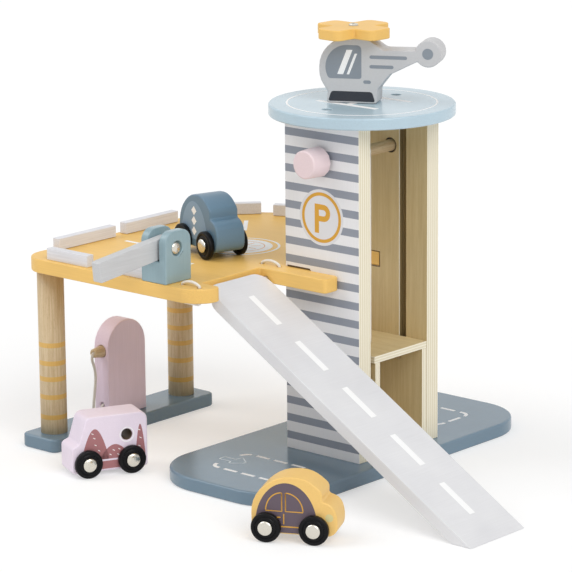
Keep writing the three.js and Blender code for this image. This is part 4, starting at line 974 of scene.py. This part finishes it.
# %% Helpers for flat shapes
INK_MM = 0.05
ARC_STEPS, PILL_STEPS, CORNER_STEPS = 48, 10, 8


def bar_shape(left, low, right, high):
    return [(left, low), (right, low), (right, high), (left, high)]


def round_shape(x, y, radius, start=0, end=360, steps=ARC_STEPS):
    turns = [math.radians(start + (end - start) * step / steps) for step in range(steps + 1)]
    if end - start == 360:
        turns.pop()
    return [(x + radius * math.cos(t), y + radius * math.sin(t)) for t in turns]


def ring_shapes(x, y, outer, width, start=0, end=360, steps=ARC_STEPS):
    outside = round_shape(x, y, outer, start, end, steps)
    inside = round_shape(x, y, outer - width, start, end, steps)
    if end - start == 360:
        outside.append(outside[0])
        inside.append(inside[0])
    return [[a, b, d, c] for a, b, c, d in zip(outside, outside[1:], inside, inside[1:])]


def line_shapes(points, width):
    """A line of any course as a row of four-sided shapes."""
    sides = []
    for index, (x, y) in enumerate(points):
        x0, y0 = points[max(index - 1, 0)]
        x1, y1 = points[min(index + 1, len(points) - 1)]
        reach = math.hypot(x1 - x0, y1 - y0)
        across = (-(y1 - y0) / reach * width / 2, (x1 - x0) / reach * width / 2)
        sides.append(((x - across[0], y - across[1]), (x + across[0], y + across[1])))
    return [[a[0], b[0], b[1], a[1]] for a, b in zip(sides, sides[1:])]


def pill_shape(x0, y0, x1, y1, width):
    lean = math.degrees(math.atan2(y1 - y0, x1 - x0))
    return (round_shape(x0, y0, width / 2, lean + 90, lean + 270, PILL_STEPS)
            + round_shape(x1, y1, width / 2, lean - 90, lean + 90, PILL_STEPS))


def rounded_shape(corners):
    """A closed shape through corners (x, y, radius) with each corner rounded."""
    points = []
    for index, (x, y, radius) in enumerate(corners):
        corner = Vector((x, y))
        before = (Vector(corners[index - 1][:2]) - corner).normalized()
        after = (Vector(corners[(index + 1) % len(corners)][:2]) - corner).normalized()
        half = before.angle(after) / 2
        centre = corner + (before + after).normalized() * radius / math.sin(half)
        first = corner + before * radius / math.tan(half) - centre
        last = corner + after * radius / math.tan(half) - centre
        turn = first.angle_signed(last, 0)
        for step in range(CORNER_STEPS + 1):
            spot = centre + Matrix.Rotation(-turn * step / CORNER_STEPS, 2) @ first
            points.append((spot.x, spot.y))
    return points


def printed(name, shapes, place, material, body, mirrored=False, level=1):
    """Lays flat shapes on a surface. A higher level lies on top of a lower one."""
    mesh = bmesh.new()
    side = -1 if mirrored else 1
    for shape in shapes:
        mesh.faces.new([mesh.verts.new((side * x * MM, y * MM, 0)) for x, y in shape[::side]])
    weld(mesh)
    bmesh.ops.recalc_face_normals(mesh, faces=mesh.faces)
    for face in mesh.faces:
        if face.normal.z < 0:
            face.normal_flip()
    bmesh.ops.transform(mesh, matrix=place, verts=mesh.verts)
    piece = new_piece(name, mesh, material)
    film = piece.modifiers.new("film", "SOLIDIFY")
    film.thickness = level * INK_MM * MM
    film.offset = 1
    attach(piece, body)


def printed_on_both(prefix, body, spot, heading, right, left, prints):
    """right and left say how far the right and the left face lie to the left of the spot."""
    forward, sideways = headed(heading)
    for side_name, depth, flipped in (("right", right, False), ("left", left, True)):
        face = frame_at(Vector(spot) + sideways * depth, -forward if flipped else forward,
                        (0, 0, 1))
        for title, shapes, ink, slot_name, level in prints:
            printed(f"{prefix}_{title}_{side_name}", shapes, face, ink, body,
                    mirrored=flipped, level=level)


# %% [markdown]
# ## Lines on the ramp, the disc and the deck
# The ramp has five dashes down its middle. The disc has a landing circle with a letter H. The deck
# has a round mark, a full disc in a ring with thin orange compass strokes on it, and three guide
# lines.

# %% Print the ramp's dashes
RAMP_SLOPE = math.radians(31)
RAMP_TOP = (-50.5, -105.3, 166.6)
DASHES = 5
DASH_LENGTH, DASH_PITCH, DASH_WIDTH = 36.5, 58.6, 6.5
FIRST_DASH = 22.5
down_ramp = (math.cos(RAMP_SLOPE), 0, -math.sin(RAMP_SLOPE))
ramp_face = frame_at(RAMP_TOP, down_ramp, (0, 1, 0))
dashes = []
for count in range(DASHES):
    start = FIRST_DASH + count * DASH_PITCH
    dashes += line_shapes([(start, 0), (start + DASH_LENGTH, 0)], DASH_WIDTH)
printed("ramp_dashes", dashes, ramp_face, white_ink, "ramp_board")
print("printed", len(dashes), "dashes")

# %% Print the disc's ring and letter
DISC_TOP = 306
LANDING_RING, LANDING_STEPS = (63.3, 1.6), 120
disc_face = frame_at((0, 0, DISC_TOP))
disc_marks = ring_shapes(0, 0, *LANDING_RING, steps=LANDING_STEPS)
disc_marks += [bar_shape(-33.5, -20.8, 31, -15.3), bar_shape(-33.5, 22.3, 32, 27.8),
               bar_shape(-3.8, -15.3, 1.7, 22.3)]
printed("disc_marks", disc_marks, disc_face, white_ink, "garage")

# %% Print the deck's marks
DECK_TOP = 169.5
MARK_X, MARK_Y = -118.4, -19.9
MARK_RING, MARK_DISC, MARK_STEPS = (33, 2.1), 26.5, 72
GUIDE_WIDTH = 3.8
GUIDES = ([(-211, -68.2), (-170, -68.2)], [(-184.5, 58.7), (-158.7, 27.9)],
          [(-107, -132), (-107, -94)])
COMPASS_RING, COMPASS_STROKES = (20, 0.8), 8
STROKE_INNER, STROKE_OUTER, STROKE_WIDTH = 8, 16, 0.9
deck_face = frame_at((0, 0, DECK_TOP))
deck_marks = ring_shapes(MARK_X, MARK_Y, *MARK_RING, steps=MARK_STEPS)
deck_marks.append(round_shape(MARK_X, MARK_Y, MARK_DISC))
for guide in GUIDES:
    deck_marks += line_shapes(guide, GUIDE_WIDTH)
printed("deck_marks", deck_marks, deck_face, white_ink, "garage")
compass = ring_shapes(MARK_X, MARK_Y, *COMPASS_RING)
for t in ring_of(COMPASS_STROKES):
    compass += line_shapes([(MARK_X + reach * math.cos(t), MARK_Y + reach * math.sin(t))
                            for reach in (STROKE_INNER, STROKE_OUTER)], STROKE_WIDTH)
printed("deck_compass", compass, deck_face, orange_ink, "garage", level=2)
print("printed the disc and the deck")

# %% [markdown]
# ## Parking bays on the base
# Each bay is a dashed line round a rounded oblong. The line is laid out as a dense course first,
# and then cut into dashes of equal length, so some dashes bend round a corner, as on the toy. A
# thin arrow points into the front bay, and the line is left open where it passes.

# %% Print the bays
BASE_TOP = 12
BAY_LEFT, BAY_RIGHT = -53, 17
BAYS = {"bay_front": (-133.5, -88.7, 11), "bay_rear": (81, 126, 10)}
BAY_LINE = 3.2
ARROW = [(-61, -107.5), (-49, -107.5), (-47.5, -99.5), (-36.2, -108.6), (-36.2, -112),
         (-46, -119.3), (-48, -114.3), (-61, -114.6)]
ARROW_CORNER, ARROW_WIDTH = 1.5, 1.3
BAY_CORNER = 8
BAY_DASH_SHARE = 0.72
GAP_REACH, GAP_LOW, GAP_HIGH = 2, -122, -96


def under_arrow(shape):
    x, y = shape[0]
    return x < BAY_LEFT + GAP_REACH and GAP_LOW < y < GAP_HIGH


def dashed(course, dashes, share, width):
    course = course + [course[0]]
    lengths = [0]
    for (x0, y0), (x1, y1) in zip(course, course[1:]):
        lengths.append(lengths[-1] + math.hypot(x1 - x0, y1 - y0))
    pitch = lengths[-1] / dashes
    shapes = []
    for dash in range(dashes):
        start, end = dash * pitch, (dash + share) * pitch
        inside = [start] + [d for d in lengths if start < d < end] + [end]
        spots = []
        for distance in inside:
            index = max(i for i, d in enumerate(lengths[:-1]) if d <= distance)
            part = (distance - lengths[index]) / (lengths[index + 1] - lengths[index])
            (x0, y0), (x1, y1) = course[index], course[index + 1]
            spots.append((x0 + (x1 - x0) * part, y0 + (y1 - y0) * part))
        shapes += line_shapes(spots, width)
    return shapes


base_face = frame_at((0, 0, BASE_TOP))
for bay_name, (near, far, count) in BAYS.items():
    course = rounded_shape([(x, y, BAY_CORNER)
                            for x, y in bar_shape(BAY_LEFT, near, BAY_RIGHT, far)])
    bay = dashed(course, count, BAY_DASH_SHARE, BAY_LINE)
    if bay_name == "bay_front":
        bay = [shape for shape in bay if not under_arrow(shape)]
    printed(bay_name, bay, base_face, line_ink, "garage")
arrow_course = rounded_shape([(x, y, ARROW_CORNER) for x, y in ARROW])
arrow = line_shapes(arrow_course[-1:] + arrow_course + arrow_course[:2], ARROW_WIDTH)[1:-1]
printed("bay_arrow", arrow, base_face, arrow_ink, "garage")
print("printed two bays and an arrow")

# %% [markdown]
# ## The parking sign
# The sign is printed on the wall: a pale disc, an ochre ring and a capital P. The letter is put
# together from plain strokes: an upright, two short bars and half a ring.

# %% Print the sign
SIGN_PLACE = (-0.2, -52, 216.4)
SIGN_DISC, SIGN_RING, SIGN_STEPS, BOWL_STEPS = 23.7, (21.2, 2.8), 72, 16
LETTER_LEFT, LETTER_RIGHT = -7.3, 9.5
LETTER_LOW, LETTER_HIGH = -13.4, 11.1
STROKE = 4.6
BOWL_HEIGHT = 14.4
sign_face = frame_at(SIGN_PLACE, (1, 0, 0), (0, 0, 1))
printed("sign_disc", [round_shape(0, 0, SIGN_DISC)], sign_face, sign_white_ink, "garage")
bowl = BOWL_HEIGHT / 2
bowl_x, bowl_z = LETTER_RIGHT - bowl, LETTER_HIGH - bowl
stem, bowl_low = LETTER_LEFT + STROKE, LETTER_HIGH - BOWL_HEIGHT
sign_marks = ring_shapes(0, 0, *SIGN_RING, steps=SIGN_STEPS)
sign_marks += [bar_shape(LETTER_LEFT, LETTER_LOW, stem, LETTER_HIGH),
               bar_shape(stem, LETTER_HIGH - STROKE, bowl_x, LETTER_HIGH),
               bar_shape(stem, bowl_low, bowl_x, bowl_low + STROKE)]
sign_marks += ring_shapes(bowl_x, bowl_z, bowl, STROKE, -90, 90, BOWL_STEPS)
printed("sign_marks", sign_marks, sign_face, sign_yellow_ink, "garage", level=2)
print("printed the sign")

# %% [markdown]
# ## The helicopter's prints
# Both faces of the helicopter carry the same print: a dark skid, a window, three slots and the
# tail rotor's hub. The window shows plain glass with two slanted gleams.

# %% Print the helicopter
HELI_PLACE = (-21, -21.1, 306.3)
HELI_HEADING = 27
HELI_THICKNESS = 21
skid = rounded_shape([(1.7, 1.4, 1.2), (41.6, 1.4, 1.2), (38.9, 9.8, 3), (4.4, 9.8, 3)])
window = (round_shape(18, 30, 18.5, 90, 205, 24) + round_shape(4, 23.4, 3, 205, 270, 6)
          + round_shape(28, 22.4, 2, 270, 360, 6) + round_shape(26, 44.5, 4, 0, 90, 8))
slots = [pill_shape(38.3, 39, 67.1, 39, 2.9), pill_shape(38.3, 31, 55.7, 31, 2.9),
         pill_shape(33, 18, 36.6, 18, 2.9), round_shape(85.8, 42.9, 4.6)]
gleams = [[(9.5, 24), (14.5, 24), (22.5, 44.5), (17.5, 44.5)],
          [(17.5, 24), (19.7, 24), (26.5, 41.5), (24.3, 41.5)]]
heli_prints = [("skid", [skid], dark_ink, "wheel_paint", 1),
               ("window", [window], grey_ink, "grey_paint", 1),
               ("slots", slots, grey_ink, "grey_paint", 1),
               ("gleams", gleams, white_ink, "white_paint", 2)]
printed_on_both("heli", "helicopter", HELI_PLACE, HELI_HEADING, 0, HELI_THICKNESS, heli_prints)
print("printed the helicopter")

# %% [markdown]
# ## The cars' prints
# Each car has its own print on both sides. The yellow car has a plum panel with windows drawn in
# ochre lines and a pale lamp, the blue one a light panel with white lozenges, and the van red
# brown hills with white dashes and a ring round its hole.

# %% Print the cars
CAR_HALF = 13.7
ARCH_STEPS, HILL_STEPS = 40, 20
OCHRE_LINE, SILL_LINE = 0.9, 1
LOZENGE_X, LOZENGE_WIDE, LOZENGE_HIGH, LOZENGE_LOWS = -4, 4.2, 4, (16, 24.8, 33.6)
HILL_LOW, HILL_FULLNESS = 14, 0.9
DASH_REACH, DASH_RISE, DASH_LINE = 0.9, 0.5, 0.6
VAN_DASHES = ((-8, 17), (-4, 21), (-1, 17.5), (-9, 21.5), (9, 22), (12, 27), (16, 22), (13, 33),
              (11, 18.5), (17, 18), (14.5, 37), (-27, 22), (-28, 29), (-27, 36))
HOLE_X, HOLE_HIGH, HOLE_RING = -15.97, 33.2, (6.5, 0.7)


def arch_shape(x, y, wide, high):
    turns = [math.pi * step / ARCH_STEPS for step in range(ARCH_STEPS + 1)]
    return [(x + wide * math.cos(t), y + high * math.sin(t)) for t in turns]


def outline_shapes(points, width):
    return line_shapes([*points, points[0], points[1]], width)


def hill(x, wide, high):
    shares = [step / HILL_STEPS for step in range(HILL_STEPS + 1)]
    return [(x + wide * (share - 0.5),
             HILL_LOW + high * math.sin(math.pi * share) ** HILL_FULLNESS) for share in shares]


half_arch = ARCH_STEPS // 2
window_back = [(-7, 25), *arch_shape(-7, 25, 13, 15)[half_arch:]]
window_front = [(-4, 25), *reversed(arch_shape(-4, 25, 14, 15)[:half_arch + 1])]
ochre_lines = outline_shapes(window_back, OCHRE_LINE) + outline_shapes(window_front, OCHRE_LINE)
ochre_lines += line_shapes([(-5.5, 14.5), (-5.5, 23)], OCHRE_LINE)
ochre_lines += line_shapes([(-22, 12.6), (18, 12.6)], SILL_LINE)
ochre_lines += [pill_shape(-12, 20, -8.5, 20, SILL_LINE)]
lozenges = [[(LOZENGE_X, low), (LOZENGE_X + LOZENGE_WIDE, low + LOZENGE_HIGH),
             (LOZENGE_X, low + 2 * LOZENGE_HIGH), (LOZENGE_X - LOZENGE_WIDE, low + LOZENGE_HIGH)]
            for low in LOZENGE_LOWS]
van_band = rounded_shape([(x, y, 1) for x, y in bar_shape(-25, 5.6, 30, 12.4)])
van_hills = [van_band, hill(12.5, 25, 27), hill(-5, 28, 12), hill(-27.8, 9, 27)]
van_dashes = []
for x, y in VAN_DASHES:
    van_dashes += line_shapes([(x - DASH_REACH, y - DASH_RISE), (x + DASH_REACH, y + DASH_RISE)],
                              DASH_LINE)

CAR_PRINTS = {
    "yellow_car": [("panel", [arch_shape(-3.5, 13, 25, 35), bar_shape(-22, 7.6, 18, 13)],
                    plum_ink, "wheel_paint", 1),
                   ("lines", ochre_lines, sign_yellow_ink, "yellow_paint", 2),
                   ("lamp", [round_shape(31, 22, 3.2)], sand_ink, "white_paint", 1)],
    "blue_car": [("panel", [arch_shape(-4, 13, 21.5, 32.5)], sky_ink, "blue_paint", 1),
                 ("lozenges", lozenges, white_ink, "white_paint", 2)],
    "van": [("hills", van_hills, brown_ink, "van_paint", 1),
            ("dashes", van_dashes, white_ink, "white_paint", 2),
            ("ring", ring_shapes(HOLE_X, HOLE_HIGH, *HOLE_RING), white_ink, "white_paint", 1)],
}
for car_name, prints in CAR_PRINTS.items():
    *car_place, heading = CARS[car_name]
    printed_on_both(car_name, car_name, car_place, heading, -CAR_HALF, CAR_HALF, prints)
print("printed", len(CAR_PRINTS), "cars on both sides")

# %% [markdown]
# ## Floor and light
# The toy stands on white paper in a white room. The room looks white to the camera and in
# reflections, but it lights the toy with half of that, so that no pale colour burns out, and two
# soft lamps add the rest. The paper keeps the toy's soft shadow: three fifths of what is seen of
# it is lit paper, and the rest is an even white.

# %% Tell what is seen from what only lights
SHOWN_RAYS = ("Is Camera Ray", "Is Glossy Ray", "Is Transmission Ray")


def shown(tree):
    path = add(tree, "ShaderNodeLightPath").outputs
    first, *others = [path[ray] for ray in SHOWN_RAYS]
    for ray in others:
        first = math_node(tree, "MAXIMUM", first, ray)
    return first


# %% Lay the floor
FLOOR_GLOW = 0.4
PAPER = "#fdfdfd"
PAPER_WHITE = 1.1
FLOOR_HALF_M, FLOOR_UNDER_MM = 6, 0.2
WHITE = (1, 1, 1, 1)
floor_material, tree = fresh_material("white paper")
paper = add(tree, "ShaderNodeBsdfDiffuse", {"Color": linear(PAPER)})
glow = add(tree, "ShaderNodeEmission", {"Color": WHITE, "Strength": PAPER_WHITE})
share = math_node(tree, "MULTIPLY", shown(tree), FLOOR_GLOW)
sheet = add(tree, "ShaderNodeMixShader", {0: share, 1: paper.outputs[0], 2: glow.outputs[0]})
add(tree, "ShaderNodeOutputMaterial", {"Surface": sheet.outputs[0]})
floor_mesh = bmesh.new()
bmesh.ops.create_grid(floor_mesh, x_segments=1, y_segments=1, size=FLOOR_HALF_M)
floor = new_piece("floor", floor_mesh, floor_material)
floor.location.z = -FLOOR_UNDER_MM * MM
floor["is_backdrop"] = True
print("the floor is", round(floor.dimensions.x), "m wide")

# %% Light the scene
ROOM_STRENGTH = 0.5
world = bpy.data.worlds.new("room")
world.use_nodes = True
bpy.context.scene.world = world
tree = world.node_tree
tree.nodes.clear()
strength = add(tree, "ShaderNodeMapRange",
               {"Value": shown(tree), "To Min": ROOM_STRENGTH, "To Max": 1.0})
room = add(tree, "ShaderNodeBackground", {"Color": WHITE, "Strength": strength.outputs[0]})
add(tree, "ShaderNodeOutputWorld", {"Surface": room.outputs[0]})

# A sun gives every place the same light. Its wide angle stands for a large soft lamp. One lamp
# stands on either side of the camera, and the right one is stronger. So the tops are brightest,
# then what faces right, and then the printed front wall.
LAMPS = {"left lamp": ((-0.5, -0.45, 0.74), 0.85), "right lamp": ((0.7, -0.25, 0.67), 1.35)}
LAMP_ANGLE = math.radians(38)
for lamp_name, (lamp_from, lamp_strength) in LAMPS.items():
    lamp_data = bpy.data.lights.new(lamp_name, "SUN")
    lamp_data.energy = lamp_strength
    lamp_data.angle = LAMP_ANGLE
    lamp = bpy.data.objects.new(lamp_name, lamp_data)
    lamp.rotation_euler = Vector(lamp_from).to_track_quat("Z", "Y").to_euler()
    bpy.context.scene.collection.objects.link(lamp)
bpy.context.scene.view_settings.view_transform = "Standard"
print("lit by the room and", len(LAMPS), "soft lamps")

# %% [markdown]
# ## Finish
# The sizes of the boxes round the plain and the dressed model are printed.

# %% Print the sizes of both boxes
boxes = {"cad": cad_box, "visual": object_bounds()}
plain = {name: [list(corner) for corner in box] for name, box in boxes.items()}
for name, (low, high) in plain.items():
    print(name, [round((b - a) / MM, 1) for a, b in zip(low, high)])
